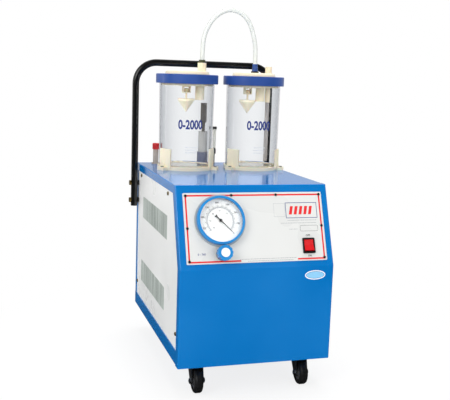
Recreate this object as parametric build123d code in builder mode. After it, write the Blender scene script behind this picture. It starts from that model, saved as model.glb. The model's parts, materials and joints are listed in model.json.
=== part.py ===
"""A suction trolley: a steel cabinet on swivel casters that carries a vacuum pump, with a gauge, a
regulator and a switch on its sloping face, and two clear collection jars with float-valve lids in
cradles on its top, joined by a hose. Millimetres, +Z up, the front faces -Y, and the origin lies on
the floor below the middle of the trolley."""
from build123d import *
import os
from math import atan2, cos, degrees, hypot, pi, radians, sin, tan

os.makedirs("parts", exist_ok=True)

# Clearances: pins in their holes, and seams between solids of one node
pin_clearance = 0.06
seam = 0.02

# Cabinet
cabinet_width = 320
cabinet_depth = 468
ground_clearance = 64
lower_face_height = 196
upper_face_rise = 157
facet_setback = 61
sheet = 1.5
corner_radius = 3
front_flange = 21
rear_flange = 14
top_rail = 17
bottom_rail = 30
rear_fitting_proud = 3

# Side panels and their grilles
panel_sheet = 1.2
panel_tuck = 6
slot_width = 3
slot_pitch = 8.6
slot_count = 30
grille_height = 50
upper_grille_y = 21
upper_grille_z = 320
lower_grille_y = 36
lower_grille_z = 165
panel_screw_radius = 4
panel_screw_proud = 2.2
panel_screw_rear_inset = 57.5
panel_screw_front_inset = 122.5
panel_screw_drop = 25
panel_screw_rise = 62
panel_screw_edge = 9
screw_core_radius = 1.5
screw_core_length = 8

# Control plate on the sloping face
plate_side_margin = 14
plate_height = 141
plate_sheet = 1.2
plate_middle = 82
plate_screw_radius = 2.6
plate_screw_inset = 5.5
plate_screw_proud = 1.4

# Vacuum gauge
gauge_inset = 72.5
gauge_v = 96
gauge_rim_radius = 52
gauge_ring_radius = 48.5
gauge_sight_radius = 43.5
gauge_case_radius = 47.5
gauge_case_depth = 38
gauge_wall = 1.5
gauge_proud = 14
rim_thickness = 3
glass_thickness = 2
glass_below_rim = 2
dial_thickness = 1
dial_height = 2.5
needle_height = 6
needle_thickness = 0.8
needle_length = 35
needle_tail = 14
needle_hub_radius = 3.4
needle_pin_radius = 1
needle_pin_depth = 5
needle_rest_angle = -45
gauge_stem_radius = 6

# Vacuum regulator
knob_v = 30
knob_radius = 15.2
knob_proud = 25
knob_height = 12.5
knob_flutes = 12
bonnet_radius = 12.5
bonnet_proud = 11
spindle_radius = 3
knob_disc_radius = 9
knob_disc_thickness = 1
regulator_body_radius = 15
regulator_body_depth = 30
spigot_radius = 4
spigot_length = 14

# Rocker switch
switch_inset = 37.5
switch_v = 41.5
switch_width = 25.5
switch_height = 31
switch_proud = 3
switch_opening_width = 20.4
switch_opening_height = 24.8
switch_body_depth = 24
switch_body_wall = 1.5
rocker_width = 19.6
rocker_half_length = 11.2
rocker_half_swing = 8
rocker_pivot_depth = 3
rocker_face_height = 2.4
rocker_pin_radius = 1.5

# Push handle
handle_side_gap = 10
handle_inset = 20.5
handle_foot_z = 316
handle_bar_z = 658.5
handle_tube_radius = 8
handle_tube_wall = 1.5
handle_bend_radius = 50
handle_bolt_radius = 3
handle_bolt_zs = (328, 370)
handle_bolt_flats = 11
handle_bolt_head = 4.5
foot_cap = 2

# Jars, their lids and cradles
jar_side_inset = 69
jar_pitch = 160.5
jar_inset = 121.7
jar_top_radius = 63
jar_foot_radius = 61
jar_wall = 2.5
jar_floor = 3
jar_height = 206
thread_radius = 66.3
thread_depth = 3
thread_pitch = 6
cradle_plate = 3.5
cradle_rim_height = 8
cradle_rim_wall = 3.2
cradle_fit = 0.4
clip_height = 48
clip_wall = 3.2
clip_half_angle = 15.5
clip_angles = (-150, -30)
lug_angles = (-150, -30, 90)
lug_reach = 78
lug_width = 20
lug_height = 7
rib_wall = 3
rib_reach = 67.5
cradle_screw_radius = 3.6
gasket_thickness = 1.5
lid_flange_radius = 66
lid_flange = 2.5
lid_skirt_radius = 59.5
lid_skirt_depth = 20.5
lid_wall = 3
dome_radius = 50.5
dome_rise = 10.5
dome_round = 6
ring_radius = 71.2
ring_inner_radius = 67
ring_height = 21
ring_sight_radius = 52
ring_top = 2.3
turning_gap = 0.2

# Float valve in each lid
cage_radius = 10.2
cage_wall = 2.4
cage_drop = 37
cage_shelf = 2
cage_window_width = 13
cage_window_head = 1.5
seat_drop = 22
seat_plate = 2
seat_bore = 3.5
shelf_bore = 5.2
float_ball_radius = 6
float_stem_radius = 2.2
float_cone_radius = 19
float_cone_band = 4.5
float_cone_height = 31.5
float_neck = 18
float_travel = 4.5
float_offsets = {"left": -1.5, "right": -14}
guard_radius = 10.5
guard_wall = 2
guard_drop = 52.5
guard_offsets = {"left": 30.5, "right": 17}

# Ports, hose and dip tube
hose_radius = 5
hose_bore = 3.4
hose_fit = 0.2
hose_socket = 5
port_radius = 10
port_rise = 19
port_offset = 34
collar_radius = 7.5
collar_height = 6.5
outlet_offset = 2
grommet_radius = 9
grommet_height = 4
barb_radius = 6.9
barb_rise = 20.5
barb_socket = 8.5
inlet_radius = 7.7
inlet_rise = 15.5
inlet_offset = 36
inlet_bore = 4.2
inlet_stub_radius = 6
inlet_stub_drop = 54.5
dip_radius = 4.8
dip_bore = 3.2
dip_overlap = 12
dip_clear_of_floor = 9
outlet_back = 30
outlet_spigot_rise = 6.5
outlet_spigot_radius = 3.5
outlet_spigot_bore = 2.3
outlet_spigot_reach = 40

# Fittings at the back of the top
nozzle_side_inset = 39.5
nozzle_inset = 29.5
nozzle_radius = 6.5
nozzle_height = 48
nozzle_flange_radius = 10
nozzle_bore = 4
cap_radius = 8.2
cap_height = 14.5
cap_fit = 0.3
filter_x = -2
filter_inset = 32.5
bowl_radius = 15
bowl_height = 30
body_radius = 12.5
body_height = 50
riser_neck_radius = 4.6
riser_neck_height = 22
riser_radius = 8.5
riser_height = 47
bleed_x = 24
bleed_inset = 34.5
bleed_stem_radius = 2.3
bleed_stem_height = 26
bleed_nut_radius = 4.6
bleed_nut_height = 11
bleed_tube_radius = 3.6
bleed_tube_height = 46
bleed_knob_radius = 5.5
bleed_knob_height = 9

# Casters
caster_side_inset = 48
caster_end_inset = 47
caster_plate_size = 58
caster_plate = 3
raceway_radius = 21
raceway_height = 7
crown_radius = 20
crown_thickness = 2.8
kingpin_radius = 4
kingpin_head_radius = 6
kingpin_head = 2
trail = 16
wheel_radius = 25
wheel_width = 17
hub_radius = 16
hub_width = 19
fork_gap = 20.4
fork_wall = 2.5
fork_boss_radius = 8.5
axle_radius = 3
axle_nut_flats = 10
axle_nut = 4

# Pump inside the cabinet
mount_radius = 12
mount_height = 22
mount_x = 45
mount_y = 50
pump_y = 40
base_plate = 6
motor_radius = 52
motor_length = 130
motor_axis_z = 150
fin_count = 9
fin_groove = 5
fin_depth = 4
shaft_radius = 8
shaft_clearance = 0.06
head_width = 84
head_height = 96
head_length = 52
head_gap = 2
head_seat = 20
fan_radius = 46
fan_hub_radius = 15
fan_gap = 6
fan_depth = 14
fan_blades = 7
pipe_radius = 5
pipe_bend = 16
exhaust_side_inset = 65
exhaust_z = 125
exhaust_start_x = 30
exhaust_run_z = 232
silencer_flats = 14
silencer_nut = 5
silencer_radius = 6
socket_width = 50
socket_height = 28
socket_body_depth = 22
socket_side_inset = 65
socket_z = 125
rear_slot_count = 11
rear_slot_length = 150
rear_slot_pitch = 10
rear_grille_z = 230

# Places that follow from the sizes
half_width = cabinet_width / 2
front_y = -(cabinet_depth + rear_fitting_proud) / 2
rear_y = front_y + cabinet_depth
crease_z = ground_clearance + lower_face_height
top_z = crease_z + upper_face_rise
top_front_y = front_y + facet_setback
lean = atan2(facet_setback, upper_face_rise)
facet_length = hypot(facet_setback, upper_face_rise)
handle_x = half_width + handle_side_gap
handle_y = rear_y - handle_inset
jar_xs = {"left": half_width - jar_side_inset - jar_pitch, "right": half_width - jar_side_inset}
jar_y = rear_y - jar_inset
nozzle_x = nozzle_side_inset - half_width
nozzle_y = rear_y - nozzle_inset
filter_y = rear_y - filter_inset
bleed_y = rear_y - bleed_inset
caster_x = half_width - caster_side_inset
caster_y = cabinet_depth / 2 - caster_end_inset
socket_x = half_width - socket_side_inset
exhaust_x = exhaust_side_inset - half_width
plate_width = cabinet_width - 2 * plate_side_margin
gauge_u = gauge_inset - plate_width / 2
switch_u = plate_width / 2 - switch_inset
facet = Plane(origin=(0, front_y, crease_z), x_dir=(1, 0, 0), z_dir=(0, -cos(lean), sin(lean)))
floor_z = ground_clearance + sheet
inner_half = half_width - sheet
jar_z = top_z + cradle_plate
jar_rim_z = jar_z + jar_height
flange_z = jar_rim_z + gasket_thickness
dome_z = flange_z + lid_flange
dome_top_z = dome_z + dome_rise
seat_z = flange_z - seat_drop
shelf_z = flange_z - cage_drop
float_ball_z = shelf_z + cage_shelf + (float_ball_radius**2 - shelf_bore**2) ** 0.5 + 0.2
ring_top_z = dome_z + turning_gap + ring_top
port_top_z = dome_top_z + port_rise
outlet_z = dome_z + outlet_spigot_rise
barb_top_z = dome_top_z + barb_rise
inlet_top_z = dome_top_z + inlet_rise
plate_bottom_z = ground_clearance - caster_plate
crown_top_z = plate_bottom_z - raceway_height
crown_bottom_z = crown_top_z - crown_thickness
mount_top_z = floor_z + mount_height


def facet_point(u, v, h=0):
    """The point at u across, v up and h out from the sloping face."""
    return facet.from_local_coords(Vector(u, v, h))


def turned_plane(plane, angle):
    """A plane turned about its own normal by an angle in degrees."""
    turned_x = plane.x_dir.rotate(Axis((0, 0, 0), plane.z_dir), angle)
    return Plane(origin=plane.origin, x_dir=turned_x, z_dir=plane.z_dir)


def write(part, name, colour):
    """Labels a finished piece and writes it as one STEP file."""
    part.part.label = name
    part.part.color = Color(*colour)
    export_step(part.part, f"parts/{name}.step")


def profile_y(z, shift):
    """Where the front profile, moved back by shift, lies at a height."""
    return front_y + shift + max(0, z - crease_z) * tan(lean)


def hex_radius(flats):
    """The corner radius of a hexagon from its width across flats."""
    return flats / 2 / cos(radians(30))


BLUE = (0.0, 0.35, 0.72)
WHITE = (0.92, 0.93, 0.92)
CREAM = (0.94, 0.89, 0.77)
BLACK = (0.03, 0.03, 0.03)
STEEL = (0.7, 0.7, 0.72)
CLEAR = (0.85, 0.9, 0.95)
BRASS = (0.75, 0.6, 0.3)
RED = (0.8, 0.05, 0.05)

# Front fascia: one folded sheet with a lower face, a sloping face and returns all round
plate_screw_rows = (
    plate_middle - plate_height / 2 + plate_screw_inset,
    plate_middle,
    plate_middle + plate_height / 2 - plate_screw_inset,
)
plate_screw_u = plate_width / 2 - plate_screw_inset
plate_screws_uv = [(side * plate_screw_u, v) for side in (-1, 1) for v in plate_screw_rows]
plate_screws_uv += [(side * plate_screw_u / 3, plate_screw_rows[2]) for side in (-1, 1)]
with BuildPart() as front_fascia:
    with BuildSketch(Plane.YZ.offset(-half_width)):
        with BuildLine():
            Polyline(
                (front_y, ground_clearance),
                (front_y, crease_z),
                (top_front_y, top_z),
                (top_front_y + front_flange, top_z),
                (front_y + front_flange, crease_z),
                (front_y + front_flange, ground_clearance),
                close=True,
            )
        make_face()
    extrude(amount=cabinet_width)
    across = front_fascia.edges().filter_by(Axis.X).sort_by(Axis.Y)
    creases = [e for e in across if abs(e.center().Z - crease_z) < 1 and e.center().Y < front_y + 1]
    brows = [e for e in across if abs(e.center().Z - top_z) < 1 and e.center().Y < top_front_y + 1]
    sides = [
        e
        for e in front_fascia.edges()
        if abs(abs(e.center().X) - half_width) < 0.01
        and abs(e.center().Y - profile_y(e.center().Z, 0)) < 0.01
    ]
    fillet(creases + brows + sides, corner_radius)
    with BuildSketch(Plane.YZ.offset(-inner_half)):
        with BuildLine():
            Polyline(
                (front_y + sheet, floor_z),
                (front_y + sheet, crease_z),
                (profile_y(top_z - sheet, sheet / cos(lean)), top_z - sheet),
                (profile_y(top_z - sheet, front_flange + sheet), top_z - sheet),
                (front_y + front_flange + sheet, crease_z),
                (front_y + front_flange + sheet, floor_z),
                close=True,
            )
        make_face()
    extrude(amount=2 * inner_half, mode=Mode.SUBTRACT)
    with BuildSketch(facet):
        with Locations((gauge_u, gauge_v)):
            Circle(gauge_case_radius + 0.3)
        with Locations((gauge_u, knob_v)):
            Circle(bonnet_radius + 0.3)
        with Locations((switch_u, switch_v)):
            Rectangle(switch_width - 3, switch_height - 3)
        with Locations(*plate_screws_uv):
            Circle(screw_core_radius + 0.1)
    extrude(amount=-3 * sheet, mode=Mode.SUBTRACT)
write(front_fascia, "front_fascia", BLUE)

# Top cover: a folded tray upside down, with the holes for what stands on it
cradle_screw_radius_at = lug_reach - cradle_screw_radius - 2.4
cradle_screw_places = [
    (x + cradle_screw_radius_at * cos(radians(a)), jar_y + cradle_screw_radius_at * sin(radians(a)))
    for x in jar_xs.values()
    for a in lug_angles
]
with BuildPart() as top_cover:
    with BuildSketch(Plane.YZ.offset(-half_width)):
        with BuildLine():
            Polyline(
                (profile_y(top_z, front_flange), top_z),
                (profile_y(top_z - top_rail, front_flange), top_z - top_rail),
                (rear_y, top_z - top_rail),
                (rear_y, top_z),
                close=True,
            )
        make_face()
    extrude(amount=cabinet_width)
    top_edges = top_cover.edges().filter_by_position(Axis.Z, top_z - 0.01, top_z + 0.01)
    fillet(top_edges.filter_by(Axis.Y), corner_radius)
    with BuildSketch(Plane.XY.offset(top_z - sheet)):
        with Locations((0, (rear_y - sheet + front_y) / 2)):
            Rectangle(2 * inner_half, rear_y - sheet - front_y)
    extrude(amount=-top_rail, mode=Mode.SUBTRACT)
    with BuildSketch(Plane.XY.offset(top_z)):
        with Locations((nozzle_x, nozzle_y)):
            Circle(nozzle_radius + 0.1)
        with Locations((filter_x, filter_y)):
            Circle(pipe_radius + 0.1)
        with Locations((bleed_x, bleed_y)):
            Circle(bleed_stem_radius + 0.1)
        with Locations(*cradle_screw_places):
            Circle(screw_core_radius + 0.1)
    extrude(amount=-2 * sheet, mode=Mode.SUBTRACT)
write(top_cover, "top_cover", BLUE)

# Base tray: an open pan that carries the pump and, below, the casters
tray_front = front_y + front_flange
with BuildPart() as base_tray:
    with BuildSketch(Plane.XY.offset(ground_clearance)):
        with Locations((0, (tray_front + rear_y) / 2)):
            Rectangle(cabinet_width, rear_y - tray_front)
    extrude(amount=bottom_rail)
    fillet(base_tray.edges().filter_by(Axis.Y).group_by(Axis.Z)[0], corner_radius)
    with BuildSketch(Plane.XY.offset(floor_z)):
        with Locations((0, (tray_front + rear_y - sheet) / 2)):
            Rectangle(2 * inner_half, rear_y - tray_front - sheet)
    extrude(amount=bottom_rail, mode=Mode.SUBTRACT)
write(base_tray, "base_tray", BLUE)

# Rear panel: wraps round both back corners, with a grille and the mains socket's opening
rear_foot_z = ground_clearance + bottom_rail
rear_head_z = top_z - top_rail
with BuildPart() as rear_panel:
    with BuildSketch(Plane.XY.offset(rear_foot_z)):
        with Locations((0, rear_y - rear_flange / 2)):
            Rectangle(cabinet_width, rear_flange)
    extrude(amount=rear_head_z - rear_foot_z)
    fillet(rear_panel.edges().filter_by(Axis.Z).group_by(Axis.Y)[-1], corner_radius)
    with BuildSketch(Plane.XY.offset(rear_foot_z)):
        with Locations((0, rear_y - rear_flange / 2 - sheet)):
            Rectangle(2 * inner_half, rear_flange)
    extrude(amount=rear_head_z - rear_foot_z, mode=Mode.SUBTRACT)
    with BuildSketch(Plane.XZ.offset(-rear_y)):
        with Locations((0, rear_grille_z)):
            with GridLocations(0, rear_slot_pitch, 1, rear_slot_count):
                SlotOverall(rear_slot_length, rear_slot_pitch / 2)
        with Locations((socket_x, socket_z)):
            Rectangle(socket_width - 6, socket_height - 5)
        with Locations((exhaust_x, exhaust_z)):
            Circle(pipe_radius + 0.1)
    extrude(amount=2 * sheet, both=True, mode=Mode.SUBTRACT)
write(rear_panel, "rear_panel", BLUE)

# Side panels: flat sheets tucked behind the rails, each with two grilles of upright slots
screw_rear_y = rear_y - panel_screw_rear_inset
screw_top_z = top_z - panel_screw_drop
screw_low_z = ground_clearance + panel_screw_rise
screw_places_yz = [
    (screw_rear_y, screw_top_z),
    (front_y + panel_screw_front_inset, screw_top_z),
    (tray_front + panel_screw_edge, screw_low_z),
    (rear_y - rear_flange - panel_screw_edge, screw_low_z),
]


def side_panel(side):
    """One side panel; side is -1 for the left and 1 for the right."""
    start = side * inner_half
    foot = ground_clearance + bottom_rail - panel_tuck
    head = top_z - top_rail + panel_tuck
    back = rear_y - rear_flange + panel_tuck
    with BuildPart() as panel:
        with BuildSketch(Plane.YZ.offset(start)):
            with BuildLine():
                Polyline(
                    (front_y + front_flange - panel_tuck, foot),
                    (front_y + front_flange - panel_tuck, crease_z),
                    (profile_y(head, front_flange - panel_tuck), head),
                    (back, head),
                    (back, foot),
                    close=True,
                )
            make_face()
            for y, z in ((upper_grille_y, upper_grille_z), (lower_grille_y, lower_grille_z)):
                with Locations((y, z)):
                    with GridLocations(slot_pitch, 0, slot_count, 1):
                        Rectangle(slot_width, grille_height, mode=Mode.SUBTRACT)
            with Locations(*screw_places_yz):
                Circle(screw_core_radius + 0.1, mode=Mode.SUBTRACT)
            with Locations(*[(handle_y, z) for z in handle_bolt_zs]):
                Circle(handle_bolt_radius + 0.1, mode=Mode.SUBTRACT)
        extrude(amount=-side * panel_sheet)
    return panel


for side, name in ((-1, "side_panel_left"), (1, "side_panel_right")):
    write(side_panel(side), name, WHITE)

with BuildPart() as panel_screws:
    for side in (-1, 1):
        with BuildSketch(Plane.YZ.offset(side * inner_half)):
            with Locations(*screw_places_yz):
                Circle(panel_screw_radius)
        heads = extrude(amount=side * panel_screw_proud)
        rims = heads.edges().filter_by(GeomType.CIRCLE).group_by(Axis.X)[-1 if side > 0 else 0]
        chamfer(rims, panel_screw_proud / 3)
        with BuildSketch(Plane.YZ.offset(side * inner_half)):
            with Locations(*screw_places_yz):
                Circle(screw_core_radius)
        extrude(amount=-side * screw_core_length)
write(panel_screws, "panel_screws", BRASS)

# Control plate and its screws
with BuildPart() as control_plate:
    with BuildSketch(facet):
        with Locations((0, plate_middle)):
            RectangleRounded(plate_width, plate_height, 2)
        with Locations((gauge_u, gauge_v)):
            Circle(gauge_case_radius + 0.3, mode=Mode.SUBTRACT)
        with Locations((gauge_u, knob_v)):
            Circle(bonnet_radius + 0.3, mode=Mode.SUBTRACT)
        with Locations((switch_u, switch_v)):
            Rectangle(switch_width - 3, switch_height - 3, mode=Mode.SUBTRACT)
        with Locations(*plate_screws_uv):
            Circle(screw_core_radius + 0.1, mode=Mode.SUBTRACT)
    extrude(amount=plate_sheet)
write(control_plate, "control_plate", WHITE)

with BuildPart() as plate_screws:
    with BuildSketch(facet.offset(plate_sheet)):
        with Locations(*plate_screws_uv):
            Circle(plate_screw_radius)
    extrude(amount=plate_screw_proud)
    with BuildSketch(facet.offset(plate_sheet)):
        with Locations(*plate_screws_uv):
            Circle(screw_core_radius)
    extrude(amount=-screw_core_length)
write(plate_screws, "plate_screws", BLACK)

# Vacuum gauge: a cup with a rim, a ring over the glass, a dial and a needle on its pin
gauge_axis = Plane(origin=facet_point(gauge_u, gauge_v), x_dir=(1, 0, 0), z_dir=facet.z_dir)
rim_top = plate_sheet + rim_thickness
stem_reach = gauge_v - knob_v - gauge_case_radius
with BuildPart() as gauge_case:
    with BuildSketch(gauge_axis.offset(-gauge_case_depth)):
        Circle(gauge_case_radius)
    extrude(amount=gauge_case_depth + rim_top)
    with BuildSketch(gauge_axis.offset(plate_sheet)):
        Circle(gauge_rim_radius)
    rim = extrude(amount=rim_thickness)
    chamfer(gauge_case.edges().filter_by(GeomType.CIRCLE).sort_by(SortBy.RADIUS)[-1], 1)
    with BuildSketch(gauge_axis.offset(-gauge_case_depth + gauge_wall)):
        Circle(gauge_case_radius - gauge_wall)
    extrude(amount=gauge_case_depth + rim_top, mode=Mode.SUBTRACT)
    with BuildSketch(gauge_axis.offset(dial_height - dial_thickness - 2)):
        Circle(gauge_case_radius - gauge_wall)
        Circle(gauge_case_radius - gauge_wall - 3, mode=Mode.SUBTRACT)
    extrude(amount=2)
    with BuildSketch(gauge_axis.offset(-gauge_case_depth + gauge_wall)):
        Circle(2 * needle_pin_radius)
    extrude(amount=gauge_case_depth - gauge_wall + dial_height - dial_thickness - 0.5)
    with BuildSketch(gauge_axis.offset(-needle_pin_depth - 1)):
        Circle(needle_pin_radius + pin_clearance)
    extrude(amount=2 * needle_pin_depth, mode=Mode.SUBTRACT)
    with BuildSketch(gauge_axis.offset(-gauge_case_depth)):
        RegularPolygon(hex_radius(14), 6)
    extrude(amount=-8)
    with BuildSketch(gauge_axis.offset(-gauge_case_depth - 8)):
        Circle(gauge_stem_radius)
    extrude(amount=-10)
write(gauge_case, "gauge_case", STEEL)

ring_foot = rim_top
glass_top = gauge_proud - glass_below_rim
with BuildPart() as gauge_bezel:
    with BuildSketch(gauge_axis.offset(ring_foot)):
        Circle(gauge_ring_radius)
    extrude(amount=gauge_proud - ring_foot, taper=4)
    with BuildSketch(gauge_axis.offset(ring_foot)):
        Circle(gauge_sight_radius + 1.5)
    extrude(amount=glass_top - ring_foot, mode=Mode.SUBTRACT)
    with BuildSketch(gauge_axis.offset(glass_top)):
        Circle(gauge_sight_radius)
    extrude(amount=gauge_proud, mode=Mode.SUBTRACT)
write(gauge_bezel, "gauge_bezel", BLUE)

with BuildPart() as gauge_dial:
    with BuildSketch(gauge_axis.offset(dial_height - dial_thickness)):
        Circle(gauge_case_radius - gauge_wall - 0.3)
        Circle(needle_pin_radius + 0.6, mode=Mode.SUBTRACT)
    extrude(amount=dial_thickness)
write(gauge_dial, "gauge_dial", WHITE)

with BuildPart() as gauge_glass:
    with BuildSketch(gauge_axis.offset(glass_top - glass_thickness)):
        Circle(gauge_sight_radius + 1.2)
    extrude(amount=glass_thickness)
write(gauge_glass, "gauge_glass", CLEAR)

needle_plane = turned_plane(gauge_axis.offset(needle_height), needle_rest_angle)
with BuildPart() as gauge_needle:
    with BuildSketch(needle_plane):
        with BuildLine():
            Polyline(
                (needle_length, 0.25),
                (0, 1.1),
                (-needle_tail * 0.6, 1.1),
                (-needle_tail, 3.2),
                (-needle_tail, -3.2),
                (-needle_tail * 0.6, -1.1),
                (0, -1.1),
                (needle_length, -0.25),
                close=True,
            )
        make_face()
        Circle(needle_hub_radius)
    extrude(amount=needle_thickness)
    with BuildSketch(gauge_axis.offset(-needle_pin_depth)):
        Circle(needle_pin_radius)
    extrude(amount=needle_pin_depth + needle_height + needle_thickness + 0.5)
write(gauge_needle, "gauge_needle", BLACK)

# Vacuum regulator: a body and bonnet through the panel, a spindle and a fluted knob with a disc
knob_axis = Plane(origin=facet_point(gauge_u, knob_v), x_dir=(1, 0, 0), z_dir=facet.z_dir)
with BuildPart() as regulator_valve:
    with BuildSketch(knob_axis.offset(-2 * sheet)):
        Circle(regulator_body_radius)
    extrude(amount=-regulator_body_depth)
    with BuildSketch(knob_axis.offset(-2 * sheet)):
        Circle(bonnet_radius)
    extrude(amount=2 * sheet + bonnet_proud)
    with BuildSketch(knob_axis.offset(bonnet_proud)):
        Circle(spindle_radius + pin_clearance)
    extrude(amount=-bonnet_proud - 8, mode=Mode.SUBTRACT)
    with BuildSketch(knob_axis.offset(-2 * sheet - regulator_body_depth)):
        Circle(spigot_radius)
    extrude(amount=-spigot_length)
write(regulator_valve, "regulator_valve", STEEL)

with BuildPart() as regulator_knob:
    with BuildSketch(knob_axis.offset(knob_height)):
        Circle(knob_radius)
        with PolarLocations(knob_radius + 0.9, knob_flutes, start_angle=180 / knob_flutes):
            Circle(1.9, mode=Mode.SUBTRACT)
    extrude(amount=knob_proud - knob_height)
    with BuildSketch(knob_axis.offset(knob_proud - knob_disc_thickness)):
        Circle(knob_disc_radius)
    extrude(amount=knob_disc_thickness, mode=Mode.SUBTRACT)
    with BuildSketch(knob_axis.offset(knob_height)):
        Circle(spindle_radius)
    extrude(amount=-knob_height - 6)
write(regulator_knob, "regulator_knob", BLUE)

with BuildPart() as knob_disc:
    with BuildSketch(knob_axis.offset(knob_proud - knob_disc_thickness)):
        Circle(knob_disc_radius - 0.05)
    extrude(amount=knob_disc_thickness + 0.4)
write(knob_disc, "knob_disc", WHITE)

# Rocker switch: a bezel with a box behind it, and the rocker on its pin
switch_axis = Plane(origin=facet_point(switch_u, switch_v), x_dir=(1, 0, 0), z_dir=facet.z_dir)
switch_pivot = facet_point(switch_u, switch_v, plate_sheet - rocker_pivot_depth)
with BuildPart() as switch_housing:
    with BuildSketch(switch_axis.offset(plate_sheet)):
        RectangleRounded(switch_width, switch_height, 1.5)
    extrude(amount=switch_proud)
    with BuildSketch(switch_axis.offset(plate_sheet)):
        Rectangle(switch_width - 3.2, switch_height - 3.2)
    extrude(amount=-switch_body_depth)
    with BuildSketch(switch_axis.offset(plate_sheet + switch_proud)):
        Rectangle(switch_opening_width, switch_opening_height)
    extrude(amount=-switch_proud - switch_body_depth + switch_body_wall, mode=Mode.SUBTRACT)
    with BuildSketch(Plane(origin=switch_pivot, x_dir=(0, -1, 0), z_dir=(1, 0, 0))):
        Circle(rocker_pin_radius)
    extrude(amount=switch_opening_width / 2 + 0.5, both=True)
write(switch_housing, "switch_housing", BLACK)

rocker_plane = turned_plane(
    Plane(origin=switch_pivot, x_dir=facet.y_dir, z_dir=(1, 0, 0)), -rocker_half_swing
)
rocker_edge = rocker_half_length * tan(radians(rocker_half_swing))
with BuildPart() as switch_rocker:
    with BuildSketch(rocker_plane.offset(-rocker_width / 2)):
        with BuildLine():
            Polyline(
                (-rocker_half_length, 2),
                (-rocker_half_length, rocker_pivot_depth + rocker_face_height + rocker_edge),
                (0, rocker_pivot_depth + rocker_face_height),
                (rocker_half_length, rocker_pivot_depth + rocker_face_height + rocker_edge),
                (rocker_half_length, 2),
                (4, -4),
                (-4, -4),
                close=True,
            )
        make_face()
        Circle(rocker_pin_radius + pin_clearance, mode=Mode.SUBTRACT)
    extrude(amount=rocker_width)
write(switch_rocker, "switch_rocker", RED)

# Push handle: a bent tube with closed feet, bolted through spacers to the side panels
bolt_spacer = handle_x - handle_tube_radius - inner_half
with BuildPart() as push_handle:
    with BuildLine(Plane.XZ.offset(-handle_y)) as handle_path:
        FilletPolyline(
            (-handle_x, handle_foot_z),
            (-handle_x, handle_bar_z),
            (handle_x, handle_bar_z),
            (handle_x, handle_foot_z),
            radius=handle_bend_radius,
        )
    with BuildSketch(Plane(origin=(-handle_x, handle_y, handle_foot_z), z_dir=(0, 0, 1))):
        Circle(handle_tube_radius)
        Circle(handle_tube_radius - handle_tube_wall, mode=Mode.SUBTRACT)
    sweep(path=handle_path.wires()[0])
    with BuildSketch(Plane.YZ):
        with Locations(*[(handle_y, z) for z in handle_bolt_zs]):
            Circle(handle_bolt_radius + 0.1)
    extrude(amount=handle_x + 2 * handle_tube_radius, both=True, mode=Mode.SUBTRACT)
    with BuildSketch(Plane.XY.offset(handle_foot_z)):
        with Locations((-handle_x, handle_y), (handle_x, handle_y)):
            Circle(handle_tube_radius)
    extrude(amount=-foot_cap)
write(push_handle, "push_handle", BLACK)

with BuildPart() as handle_bolts:
    for side in (-1, 1):
        head_x = side * (handle_x + handle_tube_radius)
        with BuildSketch(Plane.YZ.offset(head_x)):
            with Locations(*[(handle_y, z) for z in handle_bolt_zs]):
                RegularPolygon(hex_radius(handle_bolt_flats), 6)
        extrude(amount=side * handle_bolt_head)
        with BuildSketch(Plane.YZ.offset(head_x)):
            with Locations(*[(handle_y, z) for z in handle_bolt_zs]):
                Circle(handle_bolt_radius)
        extrude(amount=-side * (2 * handle_tube_radius + bolt_spacer + panel_sheet + 10))
        with BuildSketch(Plane.YZ.offset(side * inner_half)):
            with Locations(*[(handle_y, z) for z in handle_bolt_zs]):
                Circle(2 * handle_bolt_radius)
        extrude(amount=side * (bolt_spacer - 0.1))
        with BuildSketch(Plane.YZ.offset(side * (inner_half - panel_sheet))):
            with Locations(*[(handle_y, z) for z in handle_bolt_zs]):
                RegularPolygon(hex_radius(handle_bolt_flats), 6)
        extrude(amount=-side * handle_bolt_head)
write(handle_bolts, "handle_bolts", BRASS)


def ring_sector(radius, wall, angle, half_angle):
    """A face that is a piece of a ring about the origin, centred on an angle in degrees."""
    with BuildLine() as outline:
        inner = CenterArc((0, 0), radius, angle - half_angle, 2 * half_angle)
        outer = CenterArc((0, 0), radius + wall, angle - half_angle, 2 * half_angle)
        Line(inner @ 0, outer @ 0)
        Line(inner @ 1, outer @ 1)
    return make_face(outline.edges())


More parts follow.
